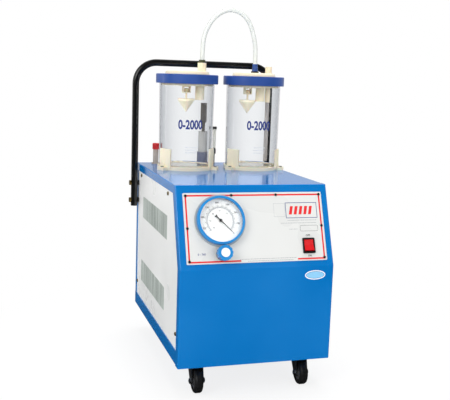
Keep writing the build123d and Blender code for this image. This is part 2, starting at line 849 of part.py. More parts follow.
def jar_cradle(x):
    """A round cradle: a plate with a rim and three lugs. The two at the front carry a clip and its rib."""
    rim_inner = jar_foot_radius + cradle_fit
    rim_outer = rim_inner + cradle_rim_wall
    clip_inner = jar_foot_radius + 1
    centre = Plane.XY.offset(top_z).move(Location((x, jar_y, 0)))
    with BuildPart() as cradle:
        with BuildSketch(centre):
            Circle(rim_outer)
        extrude(amount=cradle_rim_height)
        with BuildSketch(centre.offset(cradle_plate)):
            Circle(rim_inner)
        extrude(amount=cradle_rim_height, mode=Mode.SUBTRACT)
        with BuildSketch(centre):
            for angle in lug_angles:
                with Locations(Location((0, 0, 0), (0, 0, angle))):
                    with Locations(((rim_outer + lug_reach) / 2 - 1, 0)):
                        Rectangle(lug_reach - rim_outer + 2, lug_width)
        extrude(amount=lug_height)
        with BuildSketch(centre.offset(cradle_plate)):
            for angle in clip_angles:
                ring_sector(clip_inner, clip_wall + 0.8, angle, clip_half_angle)
        extrude(amount=clip_height - cradle_plate)
        for angle in clip_angles:
            spoke = Vector(1, 0, 0).rotate(Axis.Z, angle)
            rib_plane = Plane(origin=(x, jar_y, top_z), x_dir=spoke, z_dir=spoke.cross(Vector(0, 0, 1)))
            with BuildSketch(rib_plane):
                with BuildLine():
                    Polyline(
                        (clip_inner + clip_wall, lug_height - 1),
                        (rib_reach, lug_height - 1),
                        (clip_inner + clip_wall, clip_height * 0.8),
                        close=True,
                    )
                make_face()
            extrude(amount=rib_wall / 2, both=True)
        with BuildSketch(centre):
            with PolarLocations(cradle_screw_radius_at, 3, start_angle=lug_angles[0]):
                Circle(screw_core_radius + 0.1)
        extrude(amount=lug_height, mode=Mode.SUBTRACT)
    return cradle


for side, x in jar_xs.items():
    write(jar_cradle(x), f"jar_cradle_{side}", CREAM)

with BuildPart() as cradle_screws:
    with BuildSketch(Plane.XY.offset(top_z + lug_height)):
        with Locations(*cradle_screw_places):
            Circle(cradle_screw_radius)
    extrude(amount=2)
    with BuildSketch(Plane.XY.offset(top_z + lug_height)):
        with Locations(*cradle_screw_places):
            Circle(screw_core_radius)
    extrude(amount=-lug_height - screw_core_length)
write(cradle_screws, "cradle_screws", STEEL)


def turned(x, points):
    """A body of revolution about a jar's axis, from an outline of (radius, z) points."""
    with BuildPart() as body:
        with BuildSketch(Plane(origin=(x, jar_y, 0), x_dir=(1, 0, 0), z_dir=(0, -1, 0))):
            with BuildLine():
                Polyline(*points, close=True)
            make_face()
        revolve(axis=Axis((x, jar_y, 0), (0, 0, 1)))
    return body


# Collection jars: slightly tapered, with thread beads below the rim
thread_z = jar_rim_z - thread_depth
jar_outline = [
    (0, jar_z + 1.5),
    (jar_foot_radius - 6, jar_z + 1.5),
    (jar_foot_radius - 5, jar_z),
    (jar_foot_radius - 2.5, jar_z),
    (jar_foot_radius, jar_z + 3),
    (jar_top_radius, jar_rim_z - 14),
    (jar_top_radius, thread_z - thread_pitch - thread_depth),
    (thread_radius, thread_z - thread_pitch - thread_depth / 2),
    (jar_top_radius, thread_z - thread_pitch),
    (jar_top_radius, thread_z - thread_depth),
    (thread_radius, thread_z - thread_depth / 2),
    (jar_top_radius, thread_z),
    (jar_top_radius, jar_rim_z),
    (jar_top_radius - jar_wall, jar_rim_z),
    (jar_foot_radius - jar_wall, jar_z + 1.5 + jar_floor + 3),
    (jar_foot_radius - jar_wall - 3, jar_z + 1.5 + jar_floor),
    (0, jar_z + 1.5 + jar_floor),
]
for side, x in jar_xs.items():
    write(turned(x, jar_outline), f"jar_{side}", CLEAR)
    gasket_outline = [
        (jar_top_radius - jar_wall, jar_rim_z),
        (jar_top_radius, jar_rim_z),
        (jar_top_radius, flange_z),
        (jar_top_radius - jar_wall, flange_z),
    ]
    write(turned(x, gasket_outline), f"lid_gasket_{side}", WHITE)
    ring_outline = [
        (ring_inner_radius, ring_top_z - ring_height),
        (ring_radius - 0.8, ring_top_z - ring_height),
        (ring_radius, ring_top_z - ring_height + 0.8),
        (ring_radius, ring_top_z - 1.5),
        (ring_radius - 1.5, ring_top_z),
        (ring_sight_radius, ring_top_z),
        (ring_sight_radius, ring_top_z - ring_top),
        (ring_inner_radius, ring_top_z - ring_top),
    ]
    write(turned(x, ring_outline), f"lid_ring_{side}", BLUE)


def lid(side, outlet, risers, bores):
    """A lid: a flange and skirt with a shallow dome, the float's cage under its seat, a channel from
    the seat to the outlet, and a guard tube. Risers are added and bores then cut, each given by its
    offset from the jar's axis, its radius and its two heights."""
    x = jar_xs[side]
    float_x = x + float_offsets[side]
    outlet_x, outlet_y = x + outlet[0], jar_y + outlet[1]
    guard_x = x + guard_offsets[side]
    roof = dome_top_z - lid_wall
    guard_top = roof if outlet[1] else seat_z
    with BuildPart() as body:
        with BuildSketch(Plane(origin=(x, jar_y, 0), x_dir=(1, 0, 0), z_dir=(0, -1, 0))):
            with BuildLine():
                Polyline(
                    (0, dome_top_z),
                    (dome_radius - dome_round, dome_top_z),
                    (dome_radius - 1.8, dome_top_z - 1.8),
                    (dome_radius, dome_top_z - dome_round),
                    (dome_radius, dome_z),
                    (lid_flange_radius, dome_z),
                    (lid_flange_radius, flange_z),
                    (lid_skirt_radius, flange_z),
                    (lid_skirt_radius, flange_z - lid_skirt_depth),
                    (lid_skirt_radius - lid_wall, flange_z - lid_skirt_depth),
                    (lid_skirt_radius - lid_wall, flange_z),
                    (dome_radius - lid_wall, flange_z),
                    (dome_radius - lid_wall, dome_top_z - dome_round),
                    (dome_radius - dome_round, roof),
                    (0, roof),
                    close=True,
                )
            make_face()
        revolve(axis=Axis((x, jar_y, 0), (0, 0, 1)))
        channel_length = hypot(outlet_x - float_x, outlet_y - jar_y)
        channel_turn = degrees(atan2(outlet_y - jar_y, outlet_x - float_x))
        channel = Location(((outlet_x + float_x) / 2, (outlet_y + jar_y) / 2, 0), (0, 0, channel_turn))
        with BuildSketch(Plane.XY.offset(seat_z)):
            with Locations(channel):
                SlotCenterToCenter(channel_length, 2 * cage_radius)
        extrude(amount=roof + 0.5 - seat_z)
        with BuildSketch(Plane.XY.offset(shelf_z)):
            with Locations((float_x, jar_y)):
                Circle(cage_radius)
        extrude(amount=seat_z - shelf_z)
        with BuildSketch(Plane.XY.offset(flange_z - guard_drop)):
            with Locations((guard_x, jar_y)):
                Circle(guard_radius)
        extrude(amount=roof + 0.5 - flange_z + guard_drop)
        for offset, radius, low, high in risers:
            with BuildSketch(Plane.XY.offset(low)):
                with Locations((x + offset, jar_y)):
                    Circle(radius)
            extrude(amount=high - low)
        if outlet[1]:
            with BuildSketch(Plane(origin=(outlet_x, outlet_y, outlet_z), z_dir=(0, 1, 0))):
                Circle(outlet_spigot_radius)
            extrude(amount=outlet_spigot_reach)
        with BuildSketch(Plane.XY.offset(seat_z + seat_plate)):
            with Locations(channel):
                SlotCenterToCenter(channel_length, 2 * (cage_radius - cage_wall))
        extrude(amount=roof - seat_z - seat_plate, mode=Mode.SUBTRACT)
        with BuildSketch(Plane.XY.offset(shelf_z + cage_shelf)):
            with Locations((float_x, jar_y)):
                Circle(cage_radius - cage_wall)
        extrude(amount=seat_z - shelf_z - cage_shelf, mode=Mode.SUBTRACT)
        with BuildSketch(Plane.XY.offset(shelf_z + cage_shelf)):
            with Locations((float_x, jar_y)):
                Rectangle(cage_window_width, 3 * cage_radius)
        extrude(amount=seat_z - shelf_z - cage_shelf - cage_window_head, mode=Mode.SUBTRACT)
        with BuildSketch(Plane.XY.offset(flange_z - guard_drop)):
            with Locations((guard_x, jar_y)):
                Circle(guard_radius - guard_wall)
        extrude(amount=guard_top - flange_z + guard_drop, mode=Mode.SUBTRACT)
        float_bores = [
            (float_offsets[side], seat_bore, seat_z, seat_z + seat_plate),
            (float_offsets[side], shelf_bore, shelf_z, shelf_z + cage_shelf),
        ]
        for offset, radius, low, high in float_bores + bores:
            with BuildSketch(Plane.XY.offset(low)):
                with Locations((x + offset, jar_y)):
                    Circle(radius)
            extrude(amount=high - low, mode=Mode.SUBTRACT)
        if outlet[1]:
            with BuildSketch(Plane(origin=(outlet_x, outlet_y, outlet_z), z_dir=(0, 1, 0))):
                Circle(outlet_spigot_bore)
            extrude(amount=outlet_spigot_reach, mode=Mode.SUBTRACT)
    return body


stub_z = flange_z - inlet_stub_drop
left_risers = [(port_offset, port_radius, dome_top_z - 1, port_top_z)]
left_bores = [
    (port_offset, hose_radius + hose_fit, port_top_z - hose_socket, port_top_z),
    (port_offset, hose_bore, dome_top_z - lid_wall, port_top_z),
]
right_risers = [
    (inlet_offset, inlet_radius, dome_top_z - 1, inlet_top_z),
    (inlet_offset, inlet_stub_radius, stub_z, dome_top_z - 1),
]
right_bores = [
    (outlet_offset, hose_bore, dome_top_z - lid_wall - 1, dome_top_z),
    (inlet_offset, inlet_bore, stub_z, inlet_top_z),
    (inlet_offset, dip_radius + 0.05, stub_z, stub_z + dip_overlap),
]
write(lid("left", (float_offsets["left"], outlet_back), left_risers, left_bores), "lid_left", CREAM)
write(lid("right", (outlet_offset, 0), right_risers, right_bores), "lid_right", CREAM)


def float_valve(side):
    """A float: a hollow cone below, a stem, and the ball that shuts the seat above it."""
    x = jar_xs[side] + float_offsets[side]
    cone_top = float_ball_z - float_neck
    ball_low = float_ball_z - (float_ball_radius**2 - float_stem_radius**2) ** 0.5
    ball_high = float_ball_z + float_ball_radius
    with BuildPart() as body:
        with BuildSketch(Plane(origin=(x, jar_y, 0), x_dir=(1, 0, 0), z_dir=(0, -1, 0))):
            with BuildLine():
                Line((0, cone_top - float_cone_height), (float_cone_radius, cone_top - float_cone_band))
                Line((float_cone_radius, cone_top - float_cone_band), (float_cone_radius, cone_top))
                Line((float_cone_radius, cone_top), (float_stem_radius, cone_top))
                Line((float_stem_radius, cone_top), (float_stem_radius, ball_low))
                ThreePointArc(
                    (float_stem_radius, ball_low),
                    (float_ball_radius, float_ball_z),
                    (0, ball_high),
                )
                Line((0, ball_high), (0, cone_top - float_cone_height))
            make_face()
        revolve(axis=Axis((x, jar_y, 0), (0, 0, 1)))
    return body


for side in jar_xs:
    write(float_valve(side), f"float_{side}", CREAM)

# Dip tube: plugged into the inlet's stub, reaching nearly to the floor of the jar
dip_x = jar_xs["right"] + inlet_offset
dip_bottom_z = jar_z + 1.5 + jar_floor + dip_clear_of_floor
with BuildPart() as dip_tube:
    with BuildSketch(Plane.XY.offset(dip_bottom_z)):
        with Locations((dip_x, jar_y)):
            Circle(dip_radius)
            Circle(dip_bore, mode=Mode.SUBTRACT)
    extrude(amount=stub_z + dip_overlap - dip_bottom_z)
write(dip_tube, "dip_tube", (0.35, 0.34, 0.33))

# Transfer hose: from the left jar's port, over in an arch, to the fitting on the right jar
hose_left_x = jar_xs["left"] + port_offset
hose_right_x = jar_xs["right"] + outlet_offset
hose_left_z = port_top_z - hose_socket
hose_right_z = barb_top_z - barb_socket
hose_arch = [
    (0, 27),
    (2.5, 61),
    (16, 91),
    (36.5, 113),
    (63, 124),
    (91.5, 117),
    (111, 97.5),
    (121.7, 69.5),
    (127.1, 45),
    (128.5, 20),
]
hose_route = [(hose_left_x, hose_left_z)]
hose_route += [(hose_left_x + across, port_top_z + up) for across, up in hose_arch]
hose_route += [(hose_right_x, hose_right_z)]


def route_radii(points):
    """The largest tangent arc at each corner of a route that its two runs allow."""
    radii = []
    for before, corner, after in zip(points, points[1:], points[2:]):
        run_in = Vector(*corner) - Vector(*before)
        run_out = Vector(*after) - Vector(*corner)
        turn = radians(run_in.get_angle(run_out))
        radii.append(0.45 * min(run_in.length, run_out.length) / tan(turn / 2))
    return radii


hose_radii = route_radii(hose_route)
with BuildPart() as transfer_hose:
    with BuildLine(Plane.XZ.offset(-jar_y)) as hose_path:
        FilletPolyline(*hose_route, radius=hose_radii)
    with BuildSketch(Plane.XY.offset(hose_left_z)):
        with Locations((hose_left_x, jar_y)):
            Circle(hose_radius)
    sweep(path=hose_path.wires()[0])
hose_length = hose_path.wires()[0].length
print("hose length", round(hose_length, 1), "radii", [round(r, 1) for r in hose_radii])
print("hose volume ratio", round(transfer_hose.part.volume / (pi * hose_radius**2 * hose_length), 4))
write(transfer_hose, "transfer_hose", CLEAR)

with BuildPart() as hose_collar:
    with BuildSketch(Plane.XY.offset(port_top_z)):
        with Locations((hose_left_x, jar_y)):
            Circle(collar_radius)
            Circle(hose_radius + hose_fit, mode=Mode.SUBTRACT)
    extrude(amount=collar_height)
write(hose_collar, "hose_collar", (0.2, 0.22, 0.1))

with BuildPart() as barb_grommet:
    with BuildSketch(Plane.XY.offset(dome_top_z)):
        with Locations((hose_right_x, jar_y)):
            Circle(grommet_radius)
            Circle(hose_bore, mode=Mode.SUBTRACT)
    extrude(amount=grommet_height)
write(barb_grommet, "barb_grommet", BLACK)

with BuildPart() as hose_barb:
    with BuildSketch(Plane(origin=(hose_right_x, jar_y, 0), x_dir=(1, 0, 0), z_dir=(0, -1, 0))):
        barb_foot = dome_top_z + grommet_height
        barb_step = (barb_top_z - barb_foot) / 3
        with BuildLine():
            Polyline(
                (hose_bore, barb_foot),
                (barb_radius, barb_foot),
                (barb_radius, barb_foot + barb_step),
                (barb_radius - 1.2, barb_foot + barb_step),
                (barb_radius, barb_foot + 2 * barb_step - 1),
                (barb_radius - 1.2, barb_foot + 2 * barb_step),
                (barb_radius - 0.4, barb_top_z - 1),
                (barb_radius - 1, barb_top_z),
                (hose_radius + hose_fit, barb_top_z),
                (hose_radius + hose_fit, hose_right_z),
                (hose_bore, hose_right_z),
                close=True,
            )
        make_face()
    revolve(axis=Axis((hose_right_x, jar_y, 0), (0, 0, 1)))
write(hose_barb, "hose_barb", BLUE)

# Fittings behind the jars: a capped nozzle, a line filter and a bleed tube
with BuildPart() as inlet_nozzle:
    with BuildSketch(Plane.XY.offset(top_z)):
        with Locations((nozzle_x, nozzle_y)):
            Circle(nozzle_flange_radius)
    extrude(amount=3)
    with BuildSketch(Plane.XY.offset(top_z - 12)):
        with Locations((nozzle_x, nozzle_y)):
            Circle(nozzle_radius)
    extrude(amount=nozzle_height + 12)
    with BuildSketch(Plane.XY.offset(top_z + nozzle_height)):
        with Locations((nozzle_x, nozzle_y)):
            Circle(nozzle_bore)
    extrude(amount=-nozzle_height - 12, mode=Mode.SUBTRACT)
write(inlet_nozzle, "inlet_nozzle", (0.62, 0.57, 0.52))

cap_top_z = top_z + nozzle_height + 1.8
with BuildPart() as nozzle_cap:
    with BuildSketch(Plane.XY.offset(cap_top_z - cap_height)):
        with Locations((nozzle_x, nozzle_y)):
            Circle(cap_radius)
    extrude(amount=cap_height)
    chamfer(nozzle_cap.edges().group_by(Axis.Z)[-1], 1.2)
    with BuildSketch(Plane.XY.offset(cap_top_z - cap_height)):
        with Locations((nozzle_x, nozzle_y)):
            Circle(nozzle_radius + cap_fit)
    extrude(amount=cap_height - 1.8, mode=Mode.SUBTRACT)
write(nozzle_cap, "nozzle_cap", RED)


def upright(x, y, start, *steps):
    """A stack of round sections, each given by its radius and height."""
    with BuildPart() as stack:
        z = start
        for radius, height in steps:
            with BuildSketch(Plane.XY.offset(z)):
                with Locations((x, y)):
                    Circle(radius)
            extrude(amount=height)
            z += height
    return stack


bowl_top_z = top_z + bowl_height
body_top_z = bowl_top_z + body_height
write(upright(filter_x, filter_y, top_z, (bowl_radius, bowl_height)), "filter_bowl", BLACK)
write(upright(filter_x, filter_y, bowl_top_z, (body_radius, body_height)), "filter_body", CLEAR)
riser = upright(
    filter_x, filter_y, body_top_z, (riser_neck_radius, riser_neck_height), (riser_radius, riser_height)
)
write(riser, "filter_riser", (0.35, 0.34, 0.33))
bleed = upright(
    bleed_x,
    bleed_y,
    top_z - 8,
    (bleed_stem_radius, bleed_stem_height + 8),
    (bleed_nut_radius, bleed_nut_height),
    (bleed_tube_radius, bleed_tube_height),
    (bleed_knob_radius, bleed_knob_height),
)
write(bleed, "bleed_tube", CLEAR)

# Casters: plates and raceways under the tray, and four forks that swivel on their kingpins
caster_places = {
    "front_left": (-caster_x, -caster_y),
    "front_right": (caster_x, -caster_y),
    "rear_left": (-caster_x, caster_y),
    "rear_right": (caster_x, caster_y),
}
with BuildPart() as caster_plates:
    with BuildSketch(Plane.XY.offset(ground_clearance)):
        with Locations(*caster_places.values()):
            RectangleRounded(caster_plate_size, caster_plate_size, 5)
    extrude(amount=-caster_plate)
    with BuildSketch(Plane.XY.offset(plate_bottom_z)):
        with Locations(*caster_places.values()):
            Circle(raceway_radius)
    extrude(amount=-raceway_height)
    with BuildSketch(Plane.XY.offset(crown_top_z)):
        with Locations(*caster_places.values()):
            Circle(kingpin_radius)
    extrude(amount=-crown_thickness)
    with BuildSketch(Plane.XY.offset(crown_bottom_z)):
        with Locations(*caster_places.values()):
            Circle(kingpin_head_radius)
    extrude(amount=-kingpin_head)
write(caster_plates, "caster_plates", STEEL)


def caster_fork(x, y):
    """A fork: a crown that turns on the kingpin, two cheeks, and the wheel's bolt with its nuts."""
    axle_y = y - trail
    cheek = fork_gap / 2
    with BuildPart() as fork:
        with BuildSketch(Plane.XY.offset(crown_bottom_z)):
            with Locations((x, y)):
                Circle(crown_radius)
                Circle(kingpin_radius + pin_clearance, mode=Mode.SUBTRACT)
        extrude(amount=crown_thickness)
        for side in (-1, 1):
            with BuildSketch(Plane.YZ.offset(x + side * cheek)):
                with BuildLine():
                    Polyline(
                        (y + 13, crown_top_z),
                        (y - 17, crown_top_z),
                        (axle_y - fork_boss_radius, wheel_radius),
                        (axle_y, wheel_radius - fork_boss_radius),
                        (axle_y + fork_boss_radius, wheel_radius),
                        close=True,
                    )
                make_face()
                with Locations((axle_y, wheel_radius)):
                    Circle(fork_boss_radius)
                    Circle(axle_radius + 0.05, mode=Mode.SUBTRACT)
            extrude(amount=side * fork_wall)
        with BuildSketch(Plane.YZ.offset(x)):
            with Locations((axle_y, wheel_radius)):
                Circle(axle_radius)
        extrude(amount=cheek + fork_wall + axle_nut, both=True)
        for side in (-1, 1):
            with BuildSketch(Plane.YZ.offset(x + side * (cheek + fork_wall + seam))):
                with Locations((axle_y, wheel_radius)):
                    RegularPolygon(hex_radius(axle_nut_flats), 6)
            extrude(amount=side * (axle_nut - 1))
    return fork


def caster_wheel(x, y):
    """A wheel: a rounded rubber tyre on a hub that runs on the bolt."""
    axle_y = y - trail
    half = wheel_width / 2
    with BuildPart() as wheel:
        with BuildSketch(Plane(origin=(x, axle_y, wheel_radius), x_dir=(1, 0, 0), z_dir=(0, -1, 0))):
            with BuildLine():
                Polyline(
                    (-half, hub_radius + seam),
                    (-half, wheel_radius - 4),
                    (-half + 1.2, wheel_radius - 1.5),
                    (-half + 4, wheel_radius),
                    (half - 4, wheel_radius),
                    (half - 1.2, wheel_radius - 1.5),
                    (half, wheel_radius - 4),
                    (half, hub_radius + seam),
                    close=True,
                )
            make_face()
            with BuildLine():
                Polyline(
                    (-hub_width / 2, axle_radius + pin_clearance),
                    (-hub_width / 2, axle_radius + 4),
                    (-half + 2, axle_radius + 5),
                    (-half + 2, hub_radius),
                    (half - 2, hub_radius),
                    (half - 2, axle_radius + 5),
                    (hub_width / 2, axle_radius + 4),
                    (hub_width / 2, axle_radius + pin_clearance),
                    close=True,
                )
            make_face()
        revolve(axis=Axis((x, axle_y, wheel_radius), (1, 0, 0)))
    return wheel


for place, (x, y) in caster_places.items():
    write(caster_fork(x, y), f"caster_fork_{place}", STEEL)
    write(caster_wheel(x, y), f"caster_wheel_{place}", BLACK)

# Pump and motor on rubber mounts, the rotor with its fan, and the pipes
with BuildPart() as pump_mounts:
    with BuildSketch(Plane.XY.offset(floor_z)):
        with Locations((0, pump_y)):
            with GridLocations(2 * mount_x, 2 * mount_y, 2, 2):
                Circle(mount_radius)
    extrude(amount=mount_height)
write(pump_mounts, "pump_mounts", BLACK)

motor_front = pump_y - motor_length / 2
motor_back = pump_y + motor_length / 2
axis_plane = Plane(origin=(0, motor_front, motor_axis_z), x_dir=(1, 0, 0), z_dir=(0, 1, 0))
with BuildPart() as pump_motor:
    with BuildSketch(axis_plane):
        Circle(motor_radius)
    extrude(amount=motor_length)
    with BuildSketch(Plane.XY.offset(mount_top_z)):
        with Locations((0, pump_y)):
            Rectangle(2 * mount_x + 2 * mount_radius, 2 * mount_y + 2 * mount_radius)
    extrude(amount=base_plate)
    with BuildSketch(Plane.XY.offset(mount_top_z + base_plate)):
        with Locations((0, pump_y)):
            with GridLocations(0, motor_length * 0.7, 1, 2):
                Rectangle(1.4 * motor_radius, 12)
    extrude(amount=motor_axis_z - motor_radius * 0.75 - mount_top_z - base_plate)
    for i in range(fin_count):
        groove_y = motor_length * (i + 1) / (fin_count + 1) - fin_groove / 2
        with BuildSketch(axis_plane.offset(groove_y)):
            Circle(motor_radius + 1)
            Circle(motor_radius - fin_depth, mode=Mode.SUBTRACT)
            with Locations((0, motor_radius)):
                Rectangle(3 * motor_radius, 1.4 * motor_radius, mode=Mode.SUBTRACT)
        extrude(amount=fin_groove, mode=Mode.SUBTRACT)
    with BuildSketch(axis_plane):
        Circle(shaft_radius + shaft_clearance)
    extrude(amount=motor_length, mode=Mode.SUBTRACT)
write(pump_motor, "pump_motor", STEEL)

head_back = motor_front - head_gap
with BuildPart() as pump_head:
    with BuildSketch(Plane(origin=(0, head_back, motor_axis_z), x_dir=(1, 0, 0), z_dir=(0, 1, 0))):
        RectangleRounded(head_width, head_height, 8)
    extrude(amount=-head_length)
    with BuildSketch(Plane(origin=(0, head_back, motor_axis_z), x_dir=(1, 0, 0), z_dir=(0, 1, 0))):
        Circle(head_seat)
    extrude(amount=head_gap)
    with BuildSketch(axis_plane):
        Circle(shaft_radius + shaft_clearance)
    extrude(amount=-head_gap - head_length * 0.7, mode=Mode.SUBTRACT)
    with BuildSketch(Plane.XY.offset(motor_axis_z + head_height / 2)):
        with Locations((filter_x, head_back - head_length / 2)):
            Circle(pipe_radius + 4)
    extrude(amount=8)
write(pump_head, "pump_head", STEEL)

with BuildPart() as motor_fan:
    with BuildSketch(axis_plane.offset(-head_gap - head_length * 0.7 + 1)):
        Circle(shaft_radius)
    extrude(amount=motor_length + head_gap + head_length * 0.7 - 1 + fan_gap + fan_depth)
    with BuildSketch(axis_plane.offset(motor_length + fan_gap)):
        Circle(fan_hub_radius)
        with PolarLocations(0, fan_blades):
            with Locations((fan_radius / 2, 0)):
                Rectangle(fan_radius, 3)
    extrude(amount=fan_depth)
write(motor_fan, "motor_fan", BLACK)

pipe_start_z = motor_axis_z + head_height / 2 + 8
pipe_y = head_back - head_length / 2
pipe_run_z = top_z - 40
silencer_tip_y = -facet_point(gauge_u, knob_v - knob_radius, knob_proud).Y
with BuildPart() as pump_pipes:
    with BuildLine(Plane.YZ.offset(filter_x)) as pump_route:
        FilletPolyline(
            (pipe_y, pipe_start_z),
            (pipe_y, pipe_run_z),
            (filter_y, pipe_run_z),
            (filter_y, top_z),
            radius=pipe_bend,
        )
    with BuildSketch(Plane.XY.offset(pipe_start_z)):
        with Locations((filter_x, pipe_y)):
            Circle(pipe_radius)
    sweep(path=pump_route.wires()[0])
    with BuildLine() as exhaust_route:
        FilletPolyline(
            (exhaust_start_x, pipe_y, motor_axis_z + head_height / 2),
            (exhaust_start_x, pipe_y, exhaust_run_z),
            (exhaust_x, pipe_y, exhaust_run_z),
            (exhaust_x, pipe_y, exhaust_z),
            (exhaust_x, rear_y, exhaust_z),
            radius=pipe_bend,
        )
    with BuildSketch(Plane.XY.offset(motor_axis_z + head_height / 2)):
        with Locations((exhaust_start_x, pipe_y)):
            Circle(pipe_radius)
    sweep(path=exhaust_route.wires()[0])
    silencer_plane = Plane(origin=(exhaust_x, rear_y, exhaust_z), x_dir=(-1, 0, 0), z_dir=(0, 1, 0))
    with BuildSketch(silencer_plane):
        RegularPolygon(hex_radius(silencer_flats), 6)
    extrude(amount=silencer_nut)
    with BuildSketch(silencer_plane):
        Circle(silencer_radius)
    extrude(amount=silencer_tip_y - rear_y)
write(pump_pipes, "pump_pipes", CLEAR)

socket_plane = Plane(origin=(socket_x, rear_y, socket_z), x_dir=(-1, 0, 0), z_dir=(0, 1, 0))
with BuildPart() as power_inlet:
    with BuildSketch(socket_plane):
        RectangleRounded(socket_width, socket_height, 3)
    extrude(amount=rear_fitting_proud)
    with BuildSketch(socket_plane):
        Rectangle(socket_width - 6.4, socket_height - 5.4)
    extrude(amount=-socket_body_depth)
    with BuildSketch(socket_plane.offset(rear_fitting_proud)):
        with Locations((8, 0)):
            Rectangle(24, 17)
    extrude(amount=-16, mode=Mode.SUBTRACT)
    with BuildSketch(socket_plane.offset(rear_fitting_proud - 16)):
        with Locations((1, -2), (8, 3), (15, -2)):
            Rectangle(2, 4)
    extrude(amount=12)
write(power_inlet, "power_inlet", BLACK)
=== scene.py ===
# %% [markdown]
# A vacuum aspirator on casters: a blue and white steel cabinet with a pump inside, a gauge panel on
# its sloping face, and two clear jars in cream cradles, joined by a hose that arches between the lids.
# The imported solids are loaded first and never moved. Every other piece is built in metres in the same
# frame, with +Z up, the control face towards -Y and the floor at zero.

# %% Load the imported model
import json
from math import atan2, cos, pi, radians, sin

import bpy
from mathutils import Matrix, Vector


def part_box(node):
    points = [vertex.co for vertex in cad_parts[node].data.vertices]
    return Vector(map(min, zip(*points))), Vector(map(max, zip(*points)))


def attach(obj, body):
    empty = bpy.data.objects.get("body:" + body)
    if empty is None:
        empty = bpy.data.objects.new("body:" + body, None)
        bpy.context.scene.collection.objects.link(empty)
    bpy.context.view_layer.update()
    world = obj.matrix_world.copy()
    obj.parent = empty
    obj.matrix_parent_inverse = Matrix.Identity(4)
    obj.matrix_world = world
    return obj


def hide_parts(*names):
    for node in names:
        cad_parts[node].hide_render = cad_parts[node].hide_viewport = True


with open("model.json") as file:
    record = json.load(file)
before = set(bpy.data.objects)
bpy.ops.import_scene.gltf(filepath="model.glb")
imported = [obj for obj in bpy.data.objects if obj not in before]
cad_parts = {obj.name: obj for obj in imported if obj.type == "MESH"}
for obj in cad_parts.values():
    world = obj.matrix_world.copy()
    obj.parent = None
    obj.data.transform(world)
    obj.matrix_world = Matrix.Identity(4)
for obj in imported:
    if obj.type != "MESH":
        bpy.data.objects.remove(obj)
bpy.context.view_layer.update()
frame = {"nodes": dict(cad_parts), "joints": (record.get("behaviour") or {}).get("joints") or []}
nodes = frame["nodes"]
MM = 0.001
joint_places = {
    joint["name"]: [value / MM for value in joint["pos_m"]] for joint in frame["joints"] if "pos_m" in joint
}

# %% [markdown]
# The photograph was taken from the left of the front and a little above the jars' lids. Its camera was
# worked out from the cabinet's corners, the gauge, the jars and the wheels together. It is written here
# as a place, three angles and a focal length in pixels.

# %% Set the camera
camera_place = Vector((-501.76, -1638.87, 624.98)) * MM
camera_turn = radians(-16.915)
camera_rise = radians(8.845)
camera_roll = radians(1.894)
focal_pixels = 776.89
photo_width = 450
sensor_width = 36

back = Vector((
    sin(camera_turn) * cos(camera_rise),
    -cos(camera_turn) * cos(camera_rise),
    sin(camera_rise),
))
level = (-back).cross(Vector((0, 0, 1))).normalized()
upright = level.cross(-back)
camera_x = cos(camera_roll) * level + sin(camera_roll) * upright
camera_y = cos(camera_roll) * upright - sin(camera_roll) * level
camera_axes = Matrix((camera_x, camera_y, back)).transposed()

camera_data = bpy.data.cameras.new("photo_camera")
camera_data.sensor_width = sensor_width
camera_data.lens = focal_pixels * sensor_width / photo_width
camera_data.clip_start = 0.05
camera = bpy.data.objects.new("photo_camera", camera_data)
camera.matrix_world = Matrix.Translation(camera_place) @ camera_axes.to_4x4()
bpy.context.scene.collection.objects.link(camera)
bpy.context.scene.camera = camera
print("lens", round(camera_data.lens, 2), "mm")

# %% [markdown]
# Materials are made of nodes. Colours are written as sRGB hex values, as a paint chart or a picture
# editor shows them, and one function turns them into the linear values that the shaders expect. One
# small function adds a node with its settings and links, so that a recipe reads from top to bottom.

# %% Helpers for materials
def linear(hex_colour):
    """An sRGB hex colour as linear red, green, blue and alpha."""
    channels = [int(hex_colour[i:i + 2], 16) / 255 for i in (1, 3, 5)]
    bright = [c / 12.92 if c <= 0.04045 else ((c + 0.055) / 1.055) ** 2.4 for c in channels]
    return (*bright, 1)


def add_node(tree, kind, inputs=None, **settings):
    """Adds one node. A value that is a socket is linked, and any other is set on the socket itself."""
    node = tree.nodes.new(kind)
    for key, value in settings.items():
        setattr(node, key, value)
    for key, value in (inputs or {}).items():
        if isinstance(value, bpy.types.NodeSocket):
            tree.links.new(value, node.inputs[key])
        else:
            node.inputs[key].default_value = value
    return node


def start_material(name):
    """An empty material, its node tree, and its shader linked to the output."""
    material = bpy.data.materials.new(name)
    material.use_nodes = True
    tree = material.node_tree
    tree.nodes.clear()
    output = add_node(tree, "ShaderNodeOutputMaterial")
    shader = add_node(tree, "ShaderNodeBsdfPrincipled")
    tree.links.new(shader.outputs[0], output.inputs[0])
    return material, tree, shader


def place_of(tree):
    """The point on the object, in metres in the shared frame."""
    return add_node(tree, "ShaderNodeTexCoord").outputs["Object"]


def noise_at(tree, place, grain, detail=3, stretch=(1, 1, 1)):
    """Noise whose blobs are about grain metres across, drawn out along an axis by its stretch."""
    stretched = add_node(
        tree, "ShaderNodeVectorMath", {0: place, 1: tuple(1 / (grain * s) for s in stretch)},
        operation="MULTIPLY",
    )
    return add_node(
        tree, "ShaderNodeTexNoise", {"Vector": stretched.outputs[0], "Scale": 1, "Detail": detail},
    )


def spread(tree, noise, low, high, start=0.3, end=0.7):
    """A noise as a value between low and high."""
    return add_node(
        tree, "ShaderNodeMapRange",
        {"Value": noise.outputs[0], "From Min": start, "From Max": end, "To Min": low, "To Max": high},
    ).outputs[0]


